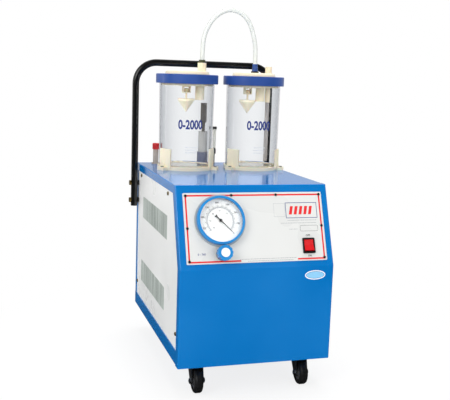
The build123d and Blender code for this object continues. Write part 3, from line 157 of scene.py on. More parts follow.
def tint(tree, noise, dark, pale, start=0.3, end=0.7):
    """A colour that wanders between two hex values with a noise."""
    share = spread(tree, noise, 0, 1, start, end)
    return add_node(
        tree, "ShaderNodeMix", {0: share, 6: linear(dark), 7: linear(pale)}, data_type="RGBA",
    ).outputs[2]


def bump(tree, shader, noise, height, strength=1):
    """Lets a noise raise the surface by height metres."""
    raised = add_node(
        tree, "ShaderNodeBump", {"Height": noise.outputs[0], "Distance": height, "Strength": strength},
    )
    tree.links.new(raised.outputs[0], shader.inputs["Normal"])


def set_values(shader, **values):
    """Sets plain values on a shader's own sockets."""
    for key, value in values.items():
        shader.inputs[key.replace("_", " ")].default_value = value


print("sRGB mid grey as linear", round(linear("#808080")[0], 3))

# %% [markdown]
# The hose is cloudy silicone tube, 10 mm across. It leaves the left jar's port straight up, arches over
# and comes down into the barbed fitting on the right jar. A NURBS curve of order 3, drawn by a dozen
# control points, gives it one smooth line. The bevel's depth is one metre, scaled down to the hose's own
# radius by each point's radius, because a curve's box is measured with the points' radii.

# %% The hose's line
hose_radius = 5 * MM
hose_y = joint_places["left_ring_turn"][1]
hose_points = [
    (-35.5, 655), (-35.5, 687), (-33, 721), (-19.5, 751), (1, 773), (27.5, 784),
    (56, 777), (75.5, 757.5), (86.2, 729.5), (91.6, 705), (93, 680), (93, 653),
]
hose_curve = bpy.data.curves.new("transfer_hose_tube", "CURVE")
hose_curve.dimensions = "3D"
hose_curve.bevel_depth = 1
hose_curve.bevel_resolution = 8
hose_curve.resolution_u = 16
hose_curve.use_fill_caps = True
hose_line = hose_curve.splines.new("NURBS")
hose_line.points.add(len(hose_points) - 1)
for point, (x, z) in zip(hose_line.points, hose_points):
    point.co = (x * MM, hose_y * MM, z * MM, 1)
    point.radius = hose_radius
hose_line.order_u = 3
hose_line.use_endpoint_u = True
hose = bpy.data.objects.new("transfer_hose_tube", hose_curve)
bpy.context.scene.collection.objects.link(hose)
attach(hose, "left_lid")
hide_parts("transfer_hose")

# %% [markdown]
# The scene is lit as a plain product picture: a soft light from the left, a weaker one from the right
# and a pale surround. The white behind the object is not more light. It comes from Light Path, which
# shows the camera and clear plastic a white backdrop while the surround lights the object at its own
# level. Gloss sees that white behind the object and a dark room in front of it, where the camera
# stands, so that the front keeps its full colour and the top mirrors the backdrop.

# %% Surround
surround_level = 0.62
room_level = 0.015
backdrop_gloss = 0.6
sky_front, sky_behind = -0.3, 0.5
world = bpy.data.worlds.new("studio")
bpy.context.scene.world = world
world.use_nodes = True
sky = world.node_tree
sky.nodes.clear()


def backdrop_rays(tree):
    """1 for a ray from the camera or through clear plastic, and the Light Path node itself."""
    path = add_node(tree, "ShaderNodeLightPath")
    direct = add_node(
        tree, "ShaderNodeMath", {0: path.outputs["Is Camera Ray"], 1: path.outputs["Is Transmission Ray"]},
        operation="MAXIMUM",
    )
    return direct.outputs[0], path


def backdrop_level(tree, direct, place, front, behind):
    """White for direct rays, and for gloss a level that falls to the dark room's towards the front."""
    away = add_node(tree, "ShaderNodeSeparateXYZ", {0: place}).outputs[1]
    level = add_node(
        tree, "ShaderNodeMapRange",
        {"Value": away, "From Min": front, "From Max": behind,
         "To Min": room_level, "To Max": backdrop_gloss},
        interpolation_type="SMOOTHSTEP",
    )
    return add_node(
        tree, "ShaderNodeMath", {0: direct, 1: level.outputs[0]}, operation="MAXIMUM",
    ).outputs[0]


sky_direct, sky_path = backdrop_rays(sky)
sky_sides = add_node(sky, "ShaderNodeTexCoord").outputs["Generated"]
sky_seen = add_node(
    sky, "ShaderNodeMath", {0: sky_direct, 1: sky_path.outputs["Is Glossy Ray"]}, operation="MAXIMUM",
)
lighting = add_node(sky, "ShaderNodeBackground", {"Color": (1, 1, 1, 1), "Strength": surround_level})
backdrop = add_node(
    sky, "ShaderNodeBackground",
    {"Color": (1, 1, 1, 1), "Strength": backdrop_level(sky, sky_direct, sky_sides, sky_front, sky_behind)},
)
both = add_node(
    sky, "ShaderNodeMixShader", {0: sky_seen.outputs[0], 1: lighting.outputs[0], 2: backdrop.outputs[0]},
)
add_node(sky, "ShaderNodeOutputWorld", {"Surface": both.outputs[0]})
print("surround", surround_level, "room", room_level, "backdrop in gloss", backdrop_gloss)

# %% [markdown]
# The floor is a plain white sheet that catches the contact shadow. Directly seen, it turns into the same
# even white as the backdrop, less so close to the wheels, where the shadow has to stay.

# %% Floor
floor_half = 6
floor_front, floor_behind = -0.1, 4
shadow_reach, white_reach, white_over_shadow = 0.2, 0.65, 0.82
floor_mesh = bpy.data.meshes.new("studio_floor")
floor_mesh.from_pydata(
    [(-floor_half, -floor_half, 0), (floor_half, -floor_half, 0), (floor_half, floor_half, 0),
     (-floor_half, floor_half, 0)],
    [], [(0, 1, 2, 3)],
)
floor = bpy.data.objects.new("studio_floor", floor_mesh)
bpy.context.scene.collection.objects.link(floor)
floor_white, floor_tree, floor_shader = start_material("white studio floor")
set_values(floor_shader, Base_Color=linear("#F4F4F4"), Roughness=0.8)
floor_direct, floor_path = backdrop_rays(floor_tree)
floor_place = place_of(floor_tree)
glow = add_node(
    floor_tree, "ShaderNodeEmission",
    {"Color": (1, 1, 1, 1),
     "Strength": backdrop_level(floor_tree, floor_direct, floor_place, floor_front, floor_behind)},
)
from_object = add_node(floor_tree, "ShaderNodeVectorMath", {0: floor_place}, operation="LENGTH")
whiteness = add_node(
    floor_tree, "ShaderNodeMapRange",
    {"Value": from_object.outputs["Value"], "From Min": shadow_reach, "From Max": white_reach,
     "To Min": white_over_shadow, "To Max": 1},
    interpolation_type="SMOOTHSTEP",
)
shown_white = add_node(
    floor_tree, "ShaderNodeMath", {0: floor_direct, 1: whiteness.outputs[0]}, operation="MULTIPLY",
)
floor_share = add_node(
    floor_tree, "ShaderNodeMath", {0: shown_white.outputs[0], 1: floor_path.outputs["Is Glossy Ray"]},
    operation="MAXIMUM",
)
floor_mix = add_node(
    floor_tree, "ShaderNodeMixShader",
    {0: floor_share.outputs[0], 1: floor_shader.outputs[0], 2: glow.outputs[0]},
)
floor_output = [n for n in floor_tree.nodes if n.type == "OUTPUT_MATERIAL"][0]
floor_tree.links.new(floor_mix.outputs[0], floor_output.inputs[0])
floor_mesh.materials.append(floor_white)
print("floor", 2 * floor_half, "m across")

# %% [markdown]
# Four soft boxes do the rest. The key stands on the left and is mirrored in the enamel, as a window
# would be. The front and top ones only lift the shade, and gloss doesn't show them. A narrow strip at
# the left rear draws a line along the handle.

# %% Lights
def add_area_light(name, place, size, watts, mirrored=True, aim=(0, 0, 0.4)):
    """A soft light at a place, facing the object. Gloss shows it only where it is mirrored."""
    data = bpy.data.lights.new(name, "AREA")
    data.shape = "RECTANGLE"
    data.size, data.size_y = size
    data.energy = watts
    light = bpy.data.objects.new(name, data)
    light.location = place
    light.visible_glossy = mirrored
    light.rotation_euler = (Vector(aim) - Vector(place)).to_track_quat("-Z", "Y").to_euler()
    bpy.context.scene.collection.objects.link(light)


add_area_light("key_softbox", (-2.2, -1.6, 1.9), (1.2, 1.6), 34)
add_area_light("front_softbox", (0.9, -2.6, 1.3), (1.4, 1.2), 15, mirrored=False)
add_area_light("top_softbox", (0.2, 0.3, 2.4), (1.6, 1.6), 38, mirrored=False)
add_area_light("rim_softbox", (-2.4, 1.0, 0.9), (0.3, 1.4), 5)
bpy.context.scene.view_settings.view_transform = "Standard"

# %% [markdown]
# The cabinet is mild steel sheet, folded and stove enamelled. Enamel levels out to a gloss but keeps a
# faint orange peel, dimples about a millimetre and a half across, so each enamel gets that bump and a
# slow change of shade. Paint is a dielectric with an IOR near 1.5, and its gloss is the clear top of
# the film.

# %% Stove enamels
def enamel(name, dark, pale, roughness, peel=1.5 * MM, peel_height=0.012 * MM):
    """A sprayed and baked paint, named for what it covers."""
    material, tree, shader = start_material(name)
    place = place_of(tree)
    set_values(shader, IOR=1.5, Coat_Weight=0.25, Coat_Roughness=0.08)
    drift = noise_at(tree, place, 0.15, 2)
    tree.links.new(tint(tree, drift, dark, pale), shader.inputs["Base Color"])
    tree.links.new(spread(tree, drift, roughness - 0.04, roughness + 0.05), shader.inputs["Roughness"])
    bump(tree, shader, noise_at(tree, place, peel, 2), peel_height)
    return material


blue_enamel = enamel("blue stove enamel", "#006EB8", "#0475C0", 0.14)
white_enamel = enamel("white stove enamel", "#EEEFEE", "#F4F5F4", 0.3)
plate_enamel = enamel("screen-printed white plate", "#D8D9D7", "#DEDFDD", 0.28)
black_enamel = enamel("black stove enamel", "#08090A", "#0D0E0F", 0.3)
# The gauge's case is chrome; its silver grey is a painted reflection of the bright surround, laid on as a
# plain enamel.
chrome_painted_reflection = enamel("silver grey painted reflection of chrome case", "#98A2A9", "#A9B3BA", 0.24)
print("enamels", 5)

# %% [markdown]
# The small metal pieces are plated steel. Zinc is a grey-blue metal with soft cloudy patches, yellow
# passivate turns it gold, and the pump is cast aluminium with a coarser skin. A metal keeps the
# default IOR and takes its whole look from its colour and roughness.

# %% Plated steels and cast aluminium
def plated(name, dark, pale, roughness, cloud=4 * MM, scratch_height=0.01 * MM):
    """A metal with a cloudy plating and fine scratches."""
    material, tree, shader = start_material(name)
    place = place_of(tree)
    set_values(shader, Metallic=1)
    clouds = noise_at(tree, place, cloud, 4)
    tree.links.new(tint(tree, clouds, dark, pale), shader.inputs["Base Color"])
    tree.links.new(spread(tree, clouds, roughness - 0.06, roughness + 0.1), shader.inputs["Roughness"])
    bump(tree, shader, noise_at(tree, place, 0.6 * MM, 2, (6, 1, 1)), scratch_height)
    return material


zinc = plated("zinc-plated steel", "#8F9296", "#B4B7BA", 0.34)
yellow_zinc = plated("yellow passivated zinc", "#7F6A3A", "#A48A52", 0.34)
cast_aluminium = plated("cast aluminium", "#8C8E90", "#A3A5A7", 0.5, cloud=2 * MM, scratch_height=0.05 * MM)
print("metals", 3)

# %% [markdown]
# Most of the rest is moulded. The lids, cradles and floats are cream ABS, the caps and the gauge's ring
# are blue ABS with a fine spark-eroded texture, and the small fittings are black nylon. A moulding
# repeats the grain of its steel mould, half a millimetre or finer, and is otherwise even in colour.

# %% Moulded plastics and rubbers
def moulded(name, dark, pale, roughness, grain=0.6 * MM, grain_height=0.015 * MM, sss=0.0):
    """An injection moulding with the grain of its mould."""
    material, tree, shader = start_material(name)
    place = place_of(tree)
    set_values(shader, IOR=1.53, Subsurface_Weight=sss, Subsurface_Scale=2 * MM)
    drift = noise_at(tree, place, 0.05, 2)
    tree.links.new(tint(tree, drift, dark, pale), shader.inputs["Base Color"])
    tree.links.new(spread(tree, drift, roughness - 0.04, roughness + 0.05), shader.inputs["Roughness"])
    bump(tree, shader, noise_at(tree, place, grain, 2), grain_height)
    return material


cream_abs = moulded("cream ABS", "#F0E4C6", "#F6ECD2", 0.36, sss=0.15)
blue_abs = moulded("royal blue ABS", "#264A92", "#2E539E", 0.34)
bright_blue_abs = moulded("bright blue ABS", "#1580C6", "#1F8AD0", 0.22)
black_nylon = moulded("black nylon", "#121314", "#1B1C1E", 0.38)
red_abs = moulded("red polycarbonate rocker", "#C3131B", "#D61C22", 0.22)
red_cap = moulded("red vinyl cap", "#B51720", "#C81F27", 0.4)
beige_nylon = moulded("beige nylon", "#A89C90", "#B7AB9F", 0.42)
olive_rubber = moulded("olive rubber", "#34381F", "#454A2B", 0.6)
grey_rubber = moulded("smoke grey tube", "#6B655F", "#7D7770", 0.35)
pale_rubber = moulded("grey silicone dip tube", "#9B9693", "#ABA6A2", 0.4)
print("mouldings", 10)

# %% [markdown]
# The jars are moulded from clear polycarbonate with a slight grey cast, which shows most along their
# sides, where the line of sight runs a long way through the wall. Clear parts send light through, so
# their look comes from what is behind them and from the bright lines along their edges. The two clearest
# let the lamps through too, or their insides would stand in shadow. Silicone is only cloudy: light is
# scattered on its way through, and the hose's thick wall looks almost white with grey edges.

# %% Clear plastics, glass and silicone
def see_through(name, colour, edge_colour, ior, roughness, transmission=1.0, ripple=0.01 * MM):
    """A clear or cloudy material, darker where it is seen edge on, with a slight ripple from its mould."""
    material, tree, shader = start_material(name)
    place = place_of(tree)
    set_values(shader, IOR=ior, Transmission_Weight=transmission)
    edge = add_node(tree, "ShaderNodeLayerWeight", {"Blend": 0.35}).outputs["Facing"]
    cast = add_node(
        tree, "ShaderNodeMix", {0: edge, 6: linear(colour), 7: linear(edge_colour)}, data_type="RGBA",
    )
    tree.links.new(cast.outputs[2], shader.inputs["Base Color"])
    haze = noise_at(tree, place, 20 * MM, 2)
    tree.links.new(spread(tree, haze, roughness * 0.7, roughness * 1.3), shader.inputs["Roughness"])
    bump(tree, shader, noise_at(tree, place, 8 * MM, 1), ripple)
    return material


def let_lamps_through(material):
    """Lets light from the lamps pass straight through, while the eye still sees the material."""
    tree = material.node_tree
    output = [n for n in tree.nodes if n.type == "OUTPUT_MATERIAL"][0]
    shader = [n for n in tree.nodes if n.type == "BSDF_PRINCIPLED"][0]
    passing = add_node(tree, "ShaderNodeBsdfTransparent")
    path = add_node(tree, "ShaderNodeLightPath")
    either = add_node(
        tree, "ShaderNodeMixShader",
        {0: path.outputs["Is Shadow Ray"], 1: shader.outputs[0], 2: passing.outputs[0]},
    )
    tree.links.new(either.outputs[0], output.inputs[0])


clear_jar = see_through("clear polycarbonate jar", "#F7F8F9", "#A3A7AF", 1.18, 0.02)
gauge_pane = see_through("gauge glass", "#FDFDFD", "#EEF0F0", 1.2, 0.01, ripple=0.001 * MM)
silicone = see_through("silicone hose", "#F4F4F0", "#CDD3C8", 1.41, 0.3, transmission=0.6)
hose_silicone = see_through("cloudy silicone hose", "#F3F6F2", "#A9B1A8", 1.41, 0.3, transmission=0.12)
smoked_bowl = see_through("smoked filter bowl", "#8D8FA3", "#6C6E80", 1.45, 0.15, transmission=0.35)
pale_filter = see_through("clear filter housing", "#E4E2DC", "#B9BBB8", 1.4, 0.15, transmission=0.4)
let_lamps_through(clear_jar)
let_lamps_through(gauge_pane)
hose.data.materials.append(hose_silicone)
print("clear materials", 6)

# %% [markdown]
# Some CAD nodes are made of two or three real parts in one solid file, such as a wheel with its tyre
# and hub. One material can dress them all: it reads the point's distance from the axle, and switches
# from one colour to the other at the seam. The caster's place comes from its own box.

# %% Wheels with a tyre and a hub
wheel_hub_radius = 16 * MM


def wheel_material(name, axle_y, axle_z):
    """Black tread outside the hub's radius, grey nylon inside it."""
    material, tree, shader = start_material(name)
    place = place_of(tree)
    parts = add_node(tree, "ShaderNodeSeparateXYZ", {0: place})
    flat = add_node(tree, "ShaderNodeCombineXYZ", {1: parts.outputs[1], 2: parts.outputs[2]})
    reach = add_node(
        tree, "ShaderNodeVectorMath", {0: flat.outputs[0], 1: (0, axle_y, axle_z)}, operation="DISTANCE",
    )
    on_tread = add_node(
        tree, "ShaderNodeMath", {0: reach.outputs["Value"], 1: wheel_hub_radius}, operation="GREATER_THAN",
    )
    dust = tint(tree, noise_at(tree, place, 6 * MM, 4), "#0D0D0E", "#1B1B1C")
    hub_grey = tint(tree, noise_at(tree, place, 10 * MM, 2), "#4A4A4C", "#5A5A5C")
    colour = add_node(
        tree, "ShaderNodeMix", {0: on_tread.outputs[0], 6: hub_grey, 7: dust}, data_type="RGBA",
    )
    tree.links.new(colour.outputs[2], shader.inputs["Base Color"])
    set_values(shader, Roughness=0.55)
    bump(tree, shader, noise_at(tree, place, 1.2 * MM, 2), 0.08 * MM)
    return material


caster_corners = ("front_left", "front_right", "rear_left", "rear_right")
for corner in caster_corners:
    low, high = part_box(f"caster_wheel_{corner}")
    rubber_and_nylon = wheel_material(
        f"caster wheel {corner}", (low[1] + high[1]) / 2, (low[2] + high[2]) / 2,
    )
    nodes[f"caster_wheel_{corner}"].data.materials.clear()
    nodes[f"caster_wheel_{corner}"].data.materials.append(rubber_and_nylon)
print("wheels", len(caster_corners))

# %% [markdown]
# Two more nodes hold several real parts. The bleed fitting has a black stem and nut, a clear tube and a
# black knob in one upright stack, so its material changes with height. The handle's bolts have gilt
# heads outside the tube and black spacers between it and the panel, so theirs changes with distance from
# the middle plane.

# %% Banded nodes
bleed_nut_high = 457 * MM
bleed_tube_high = 503 * MM
spacer_reach = 163 * MM
past_everything = 1


def banded(name, axis, low, high, inside, outside, roughness, metallic=0.0):
    """One colour where the distance from the middle along an axis lies between low and high."""
    material, tree, shader = start_material(name)
    place = place_of(tree)
    along = add_node(tree, "ShaderNodeSeparateXYZ", {0: place}).outputs[axis]
    reach = add_node(tree, "ShaderNodeMath", {0: along}, operation="ABSOLUTE").outputs[0]
    above = add_node(tree, "ShaderNodeMath", {0: reach, 1: low}, operation="GREATER_THAN")
    below = add_node(tree, "ShaderNodeMath", {0: reach, 1: high}, operation="LESS_THAN")
    between = add_node(
        tree, "ShaderNodeMath", {0: above.outputs[0], 1: below.outputs[0]}, operation="MULTIPLY",
    ).outputs[0]
    clouds = noise_at(tree, place, 5 * MM, 3)
    colour = add_node(
        tree, "ShaderNodeMix",
        {0: between, 6: tint(tree, clouds, *outside), 7: tint(tree, clouds, *inside)}, data_type="RGBA",
    )
    tree.links.new(colour.outputs[2], shader.inputs["Base Color"])
    if metallic:
        solid = add_node(tree, "ShaderNodeMath", {0: between, 1: metallic}, operation="MULTIPLY")
        tree.links.new(solid.outputs[0], shader.inputs["Metallic"])
    tree.links.new(spread(tree, clouds, roughness - 0.05, roughness + 0.08), shader.inputs["Roughness"])
    bump(tree, shader, noise_at(tree, place, 1 * MM, 2), 0.01 * MM)
    return material


bleed_finish = banded(
    "bleed fitting of nylon and clear tube", 2, bleed_nut_high, bleed_tube_high,
    ("#CFCFC6", "#DAD9D0"), ("#161718", "#222325"), 0.3,
)
handle_bolt_finish = banded(
    "gilt bolts and nylon spacers", 0, spacer_reach, past_everything,
    ("#8A7440", "#A8905A"), ("#0C0D0E", "#141516"), 0.34, metallic=1.0,
)
print("banded nodes", 2)

# %% [markdown]
# Each CAD node now gets the finish of what it is made of. The node's solid stays as it is, and only the
# material in its slot changes.

# %% Dress the CAD nodes
finishes = {
    blue_enamel: "front_fascia top_cover base_tray rear_panel",
    white_enamel: "side_panel_left side_panel_right knob_disc",
    plate_enamel: "control_plate gauge_dial",
    black_enamel: "push_handle",
    zinc: "caster_plates cradle_screws regulator_valve"
          + "".join(f" caster_fork_{corner}" for corner in caster_corners),
    yellow_zinc: "panel_screws",
    handle_bolt_finish: "handle_bolts",
    chrome_painted_reflection: "gauge_case",
    cream_abs: "lid_left lid_right jar_cradle_left jar_cradle_right float_left float_right",
    blue_abs: "lid_ring_left lid_ring_right hose_barb",
    bright_blue_abs: "gauge_bezel regulator_knob",
    black_nylon: "plate_screws gauge_needle switch_housing barb_grommet power_inlet pump_mounts motor_fan",
    red_abs: "switch_rocker",
    red_cap: "nozzle_cap",
    beige_nylon: "inlet_nozzle",
    olive_rubber: "hose_collar",
    grey_rubber: "filter_riser",
    pale_rubber: "dip_tube",
    clear_jar: "jar_left jar_right",
    gauge_pane: "gauge_glass",
    silicone: "lid_gasket_left lid_gasket_right pump_pipes",
    smoked_bowl: "filter_bowl",
    pale_filter: "filter_body",
    cast_aluminium: "pump_motor pump_head",
    bleed_finish: "bleed_tube",
}
for finish, names in finishes.items():
    for name in names.split():
        nodes[name].data.materials.clear()
        nodes[name].data.materials.append(finish)
dressed = sum(len(names.split()) for names in finishes.values()) + len(caster_corners)
print("dressed", dressed, "of", len(nodes) - 1, "nodes that show")

# %% [markdown]
# Printing lies in a plane or on a curved wall. Each surface that carries some gets a small function that
# takes a point across, up and out, and gives its place on the object, so the same band or numeral can be
# drawn flat and then laid on the sloping plate, the lower face, the dial or round a jar.

# %% Places on the printed surfaces
front_y = round(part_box("front_fascia")[0][1] / MM, 1)
crease_z = 260
facet_run, facet_rise = 61, 157
facet_lean = atan2(facet_run, facet_rise)
plate_top = 1.2
dial_top = 2.5
ink = 0.06


def on_facet(u, v, h=0.0):
    """On the sloping face: u across, v up the slope from the crease, h out."""
    return Vector((
        u,
        front_y + v * sin(facet_lean) - h * cos(facet_lean),
        crease_z + v * cos(facet_lean) + h * sin(facet_lean),
    )) * MM


def on_plate(u, v, h=0.0):
    """On the printed plate that lies on the sloping face."""
    return on_facet(u, v, plate_top + h)


def on_front(u, v, h=0.0):
    """On the upright lower face: u across, v the height above the floor."""
    return Vector((u, front_y - h, v)) * MM


needle_place = joint_places["needle_turn"]
gauge_u = needle_place[0]
gauge_v = round(
    (needle_place[1] - front_y) * sin(facet_lean) + (needle_place[2] - crease_z) * cos(facet_lean), 1,
)


def on_dial(u, v, h=0.0):
    """On the gauge's dial, from its middle."""
    return on_facet(gauge_u + u, gauge_v + v, dial_top + h)


jar_middles = {side: joint_places[f"{side}_ring_turn"][:2] for side in ("left", "right")}
jar_foot_radius, jar_top_radius, jar_foot_z, jar_top_z = 61, 63, 423.5, 612.5


def on_jar(side, facing):
    """On a jar's wall: u round the wall from the angle it faces, v the height, h out."""
    middle_x, middle_y = jar_middles[side]

    def place(u, v, h=0.0):
        share = (v - jar_foot_z) / (jar_top_z - jar_foot_z)
        radius = jar_foot_radius + share * (jar_top_radius - jar_foot_radius)
        angle = radians(facing) + u / radius
        return Vector((middle_x + (radius + h) * cos(angle), middle_y + (radius + h) * sin(angle), v)) * MM

    return place


print("crease", on_facet(0, 0), "gauge", gauge_u, gauge_v, "plate's top edge", on_plate(0, 152.5))

# %% [markdown]
# A printed line is a band of quads and a printed word is a font's outline turned into a mesh. Both are
# drawn flat and then each corner is laid on the surface, so they follow a jar's curve as well.

# %% Helpers for printing
def add_shapes(name, faces, place, height, material, body="cabinet"):
    """One mesh of flat shapes, each a list of (u, v) corners laid on a surface."""
    corners, polygons = [], []
    for face in faces:
        polygons.append(tuple(range(len(corners), len(corners) + len(face))))
        corners += [place(u, v, height) for u, v in face]
    mesh = bpy.data.meshes.new(name)
    mesh.from_pydata(corners, [], polygons)
    mesh.materials.append(material)
    piece = bpy.data.objects.new(name, mesh)
    bpy.context.scene.collection.objects.link(piece)
    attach(piece, body)
    return piece


def band(points, width, closed=True):
    """The quads of a band of even width along a line of (u, v) points."""
    count = len(points)
    inner, outer = [], []
    for i, point in enumerate(points):
        here = Vector(point)
        before = Vector(points[i - 1]) if closed or i else here
        after = Vector(points[(i + 1) % count]) if closed or i < count - 1 else here
        run = (here - before).normalized() + (after - here).normalized()
        run.normalize()
        side = Vector((-run.y, run.x))
        straight = (after - here if i == 0 and not closed else here - before).normalized()
        reach = width / 2 / max(0.3, abs(run.dot(straight)))
        inner.append(tuple(here + side * reach))
        outer.append(tuple(here - side * reach))
    last = count if closed else count - 1
    return [
        [outer[i], outer[(i + 1) % count], inner[(i + 1) % count], inner[i]] for i in range(last)
    ]


def arc(radius, start, end, steps=48, middle=(0, 0)):
    """Points along an arc, in degrees."""
    turns = [radians(start + (end - start) * i / steps) for i in range(steps + 1)]
    return [(middle[0] + radius * cos(t), middle[1] + radius * sin(t)) for t in turns]


def rounded_box(left, low, right, high, radius, steps=6):
    """The outline of a box with round corners."""
    outline = []
    for x, y, start in (
        (right - radius, high - radius, 0), (left + radius, high - radius, 90),
        (left + radius, low + radius, 180), (right - radius, low + radius, 270),
    ):
        outline += arc(radius, start, start + 90, steps, (x, y))
    return outline


def add_words(name, words, size, middle, place, height, material, body="cabinet", bold=0.0, wide=1.0):
    """Letters or numerals laid on a surface, size being their line height."""
    letters = bpy.data.curves.new(name, "FONT")
    letters.body = words
    letters.size = size
    letters.offset = bold
    letters.align_x = "CENTER"
    letters.align_y = "CENTER"
    letters.resolution_u = 4
    shown = bpy.data.objects.new(name, letters)
    bpy.context.scene.collection.objects.link(shown)
    bpy.context.view_layer.update()
    mesh = bpy.data.meshes.new_from_object(shown)
    bpy.data.objects.remove(shown)
    for vertex in mesh.vertices:
        vertex.co = place(middle[0] + wide * vertex.co.x, middle[1] + vertex.co.y, height)
    mesh.materials.clear()
    mesh.materials.append(material)
    piece = bpy.data.objects.new(name, mesh)
    bpy.context.scene.collection.objects.link(piece)
    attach(piece, body)
    return piece


print("a quarter arc's points", len(arc(1, 0, 90)), "a rounded box's", len(rounded_box(0, 0, 10, 5, 1)))

# %% [markdown]
# Screen-printing ink is a film a few hundredths of a millimetre thick with a satin surface. It soaks up
# a little unevenly, so each ink varies slightly in shade.

# %% Inks
def printing_ink(name, dark, pale, roughness=0.4):
    """A screen-printing ink."""
    material, tree, shader = start_material(name)
    speckle = noise_at(tree, place_of(tree), 1.5 * MM, 3)
    tree.links.new(tint(tree, speckle, dark, pale), shader.inputs["Base Color"])
    set_values(shader, Roughness=roughness, IOR=1.5)
    return material


red_ink = printing_ink("red ink", "#DD1C22", "#E8242A")
navy_ink = printing_ink("navy ink", "#1C2F7C", "#243A8C")
black_ink = printing_ink("black ink", "#1E1E20", "#2A2A2C")
grey_ink = printing_ink("grey ink", "#8F9498", "#9CA1A5")
white_ink = printing_ink("white ink", "#EEF1F4", "#FAFBFC")
sky_ink = printing_ink("pale blue ink", "#7FC3EC", "#96CFF2")
pale_ink = printing_ink("moulded rows", "#E2E3E6", "#EAEBED")
print("inks", 7)

# %% [markdown]
# The control plate has a red line round it that runs through the screws and stops below the gauge, a
# bordered box of slanted bars at the upper right with a pale square beside it, a few rows of short grey
# rules, and an empty rounded box for a number.

# %% The control plate's printing
border_side, border_low, border_high, border_width = 140.5, 15.5, 147, 3.2
gap_left, gap_right = -36, 83
border = [
    (gap_left, border_low), (-border_side, border_low), (-border_side, border_high),
    (border_side, border_high), (border_side, border_low), (gap_right, border_low),
]
add_shapes("plate_red_border", band(border, border_width, closed=False), on_plate, ink, red_ink)
bars_box = [(66, 99), (133, 99), (133, 130), (66, 130)]
add_shapes("plate_bars_box", band(bars_box, 1.1), on_plate, ink, navy_ink)
bar_low, bar_height, bar_slant, bar_width = 106, 17, 4, 6.2
first_bar, bar_pitch, bar_count = 72, 10.4, 5
slanted_bars = [
    [(u, bar_low), (u + bar_width, bar_low), (u + bar_width + bar_slant, bar_low + bar_height),
     (u + bar_slant, bar_low + bar_height)]
    for u in (first_bar + bar_pitch * i for i in range(bar_count))
]
add_shapes("plate_slanted_bars", slanted_bars, on_plate, ink, red_ink)
add_shapes("plate_pale_square", band([(40.5, 102), (64, 102), (64, 129), (40.5, 129)], 0.4),
           on_plate, ink, grey_ink)
rule_rows = {93.5: (68, 131), 88: (53, 132), 75.5: (70, 90), 18: (-38, 80), 14: (-22, 76)}
rule_lengths = (2.2, 3.4, 1.6, 4.1, 2.8)
rule_height = rule_gap = 0.9
shortest_room = 3
rules = []
for row, (start, end) in rule_rows.items():
    u = start
    step = 0
    while u < end - shortest_room:
        length = rule_lengths[step % len(rule_lengths)]
        rules.append([(u, row), (u + length, row), (u + length, row + rule_height), (u, row + rule_height)])
        u += length + rule_gap
        step += 1
add_shapes("plate_grey_rules", rules, on_plate, ink, grey_ink)
add_shapes("plate_number_box", band(rounded_box(94, 71.5, 132, 83, 2.5), 0.5), on_plate, ink, black_ink)
add_words("plate_off", "OFF", 5.2, (109, 62.5), on_plate, ink, black_ink, bold=0.12)
add_words("plate_on", "ON", 5.2, (109.4, 21), on_plate, ink, black_ink, bold=0.12)
add_words("plate_range", "0 - 760", 5.6, (-115, 30.5), on_plate, ink, navy_ink, bold=0.1)

# %% [markdown]
# The gauge reads vacuum, so its hand starts at the lower right and turns against the clock. Two scales
# share the sweep of 270 degrees: numerals outside a ring of fine ticks, and a grey band with smaller
# numerals inside it.

# %% The gauge's dial
dial_start = -45
dial_sweep = 270
outer_full = 760
inner_full = 30
tick_inner, tick_outer, long_tick_outer = 28, 30.2, 31.6
band_radius, band_width = 26.8, 2
fine_tick_inner, fine_tick_outer = 23.8, 25.8
outer_numerals, inner_numerals = 36.3, 19.8


def dial_angle(share):
    """The hand's angle in degrees at a share of the full scale."""
    return dial_start + dial_sweep * share


def tick(angle, inner, outer, width):
    """One tick of the dial as a thin quad."""
    ray = Vector((cos(radians(angle)), sin(radians(angle))))
    side = Vector((-ray.y, ray.x)) * width / 2
    ends = (ray * inner - side, ray * outer - side, ray * outer + side, ray * inner + side)
    return [tuple(end) for end in ends]


tick_count = outer_full // 10
ticks = []
for i in range(tick_count + 1):
    angle = dial_angle(i / tick_count)
    if i % 5:
        ticks.append(tick(angle, tick_inner, tick_outer, 0.4))
    else:
        ticks.append(tick(angle, tick_inner, long_tick_outer, 0.75))
add_shapes("dial_ticks", ticks, on_dial, ink, black_ink)
add_shapes("dial_grey_band", band(arc(band_radius, dial_angle(0), dial_angle(1)), band_width, closed=False),
           on_dial, ink, grey_ink)
inner_ticks = [
    tick(dial_angle(i / inner_full), fine_tick_inner, fine_tick_outer, 0.35) for i in range(inner_full + 1)
]
add_shapes("dial_inner_ticks", inner_ticks, on_dial, ink, black_ink)
for value in range(0, outer_full, 100):
    turn = radians(dial_angle(value / outer_full))
    spot = (outer_numerals * cos(turn), outer_numerals * sin(turn))
    add_words(f"dial_outer_{value}", str(value), 5, spot, on_dial, ink, black_ink, bold=0.1)
for value in range(0, inner_full + 1, 5):
    turn = radians(dial_angle(value / inner_full))
    spot = (inner_numerals * cos(turn), inner_numerals * sin(turn))
    add_words(f"dial_inner_{value}", str(value), 4.4, spot, on_dial, ink, black_ink, bold=0.08)

# %% [markdown]
# A white oval with a pale blue middle is printed on the lower face near the fold. The jars carry bold navy
# numerals, and below them three short rows of moulded marks that are hardly darker than the wall.

# %% The oval and the jars' marks
oval_u, oval_v, oval_wide, oval_high = 120, 241.5, 21, 8.6
oval_steps = 64
oval_turns = [2 * pi * i / oval_steps for i in range(oval_steps)]
oval_rim = [(oval_u + oval_wide * cos(t), oval_v + oval_high * sin(t)) for t in oval_turns]
add_shapes("front_oval_line", band(oval_rim, 2), on_front, ink, white_ink)
oval_middle = [(oval_u + 0.9 * (u - oval_u), oval_v + 0.78 * (v - oval_v)) for u, v in oval_rim]
add_shapes("front_oval_middle", [oval_middle], on_front, ink, sky_ink)

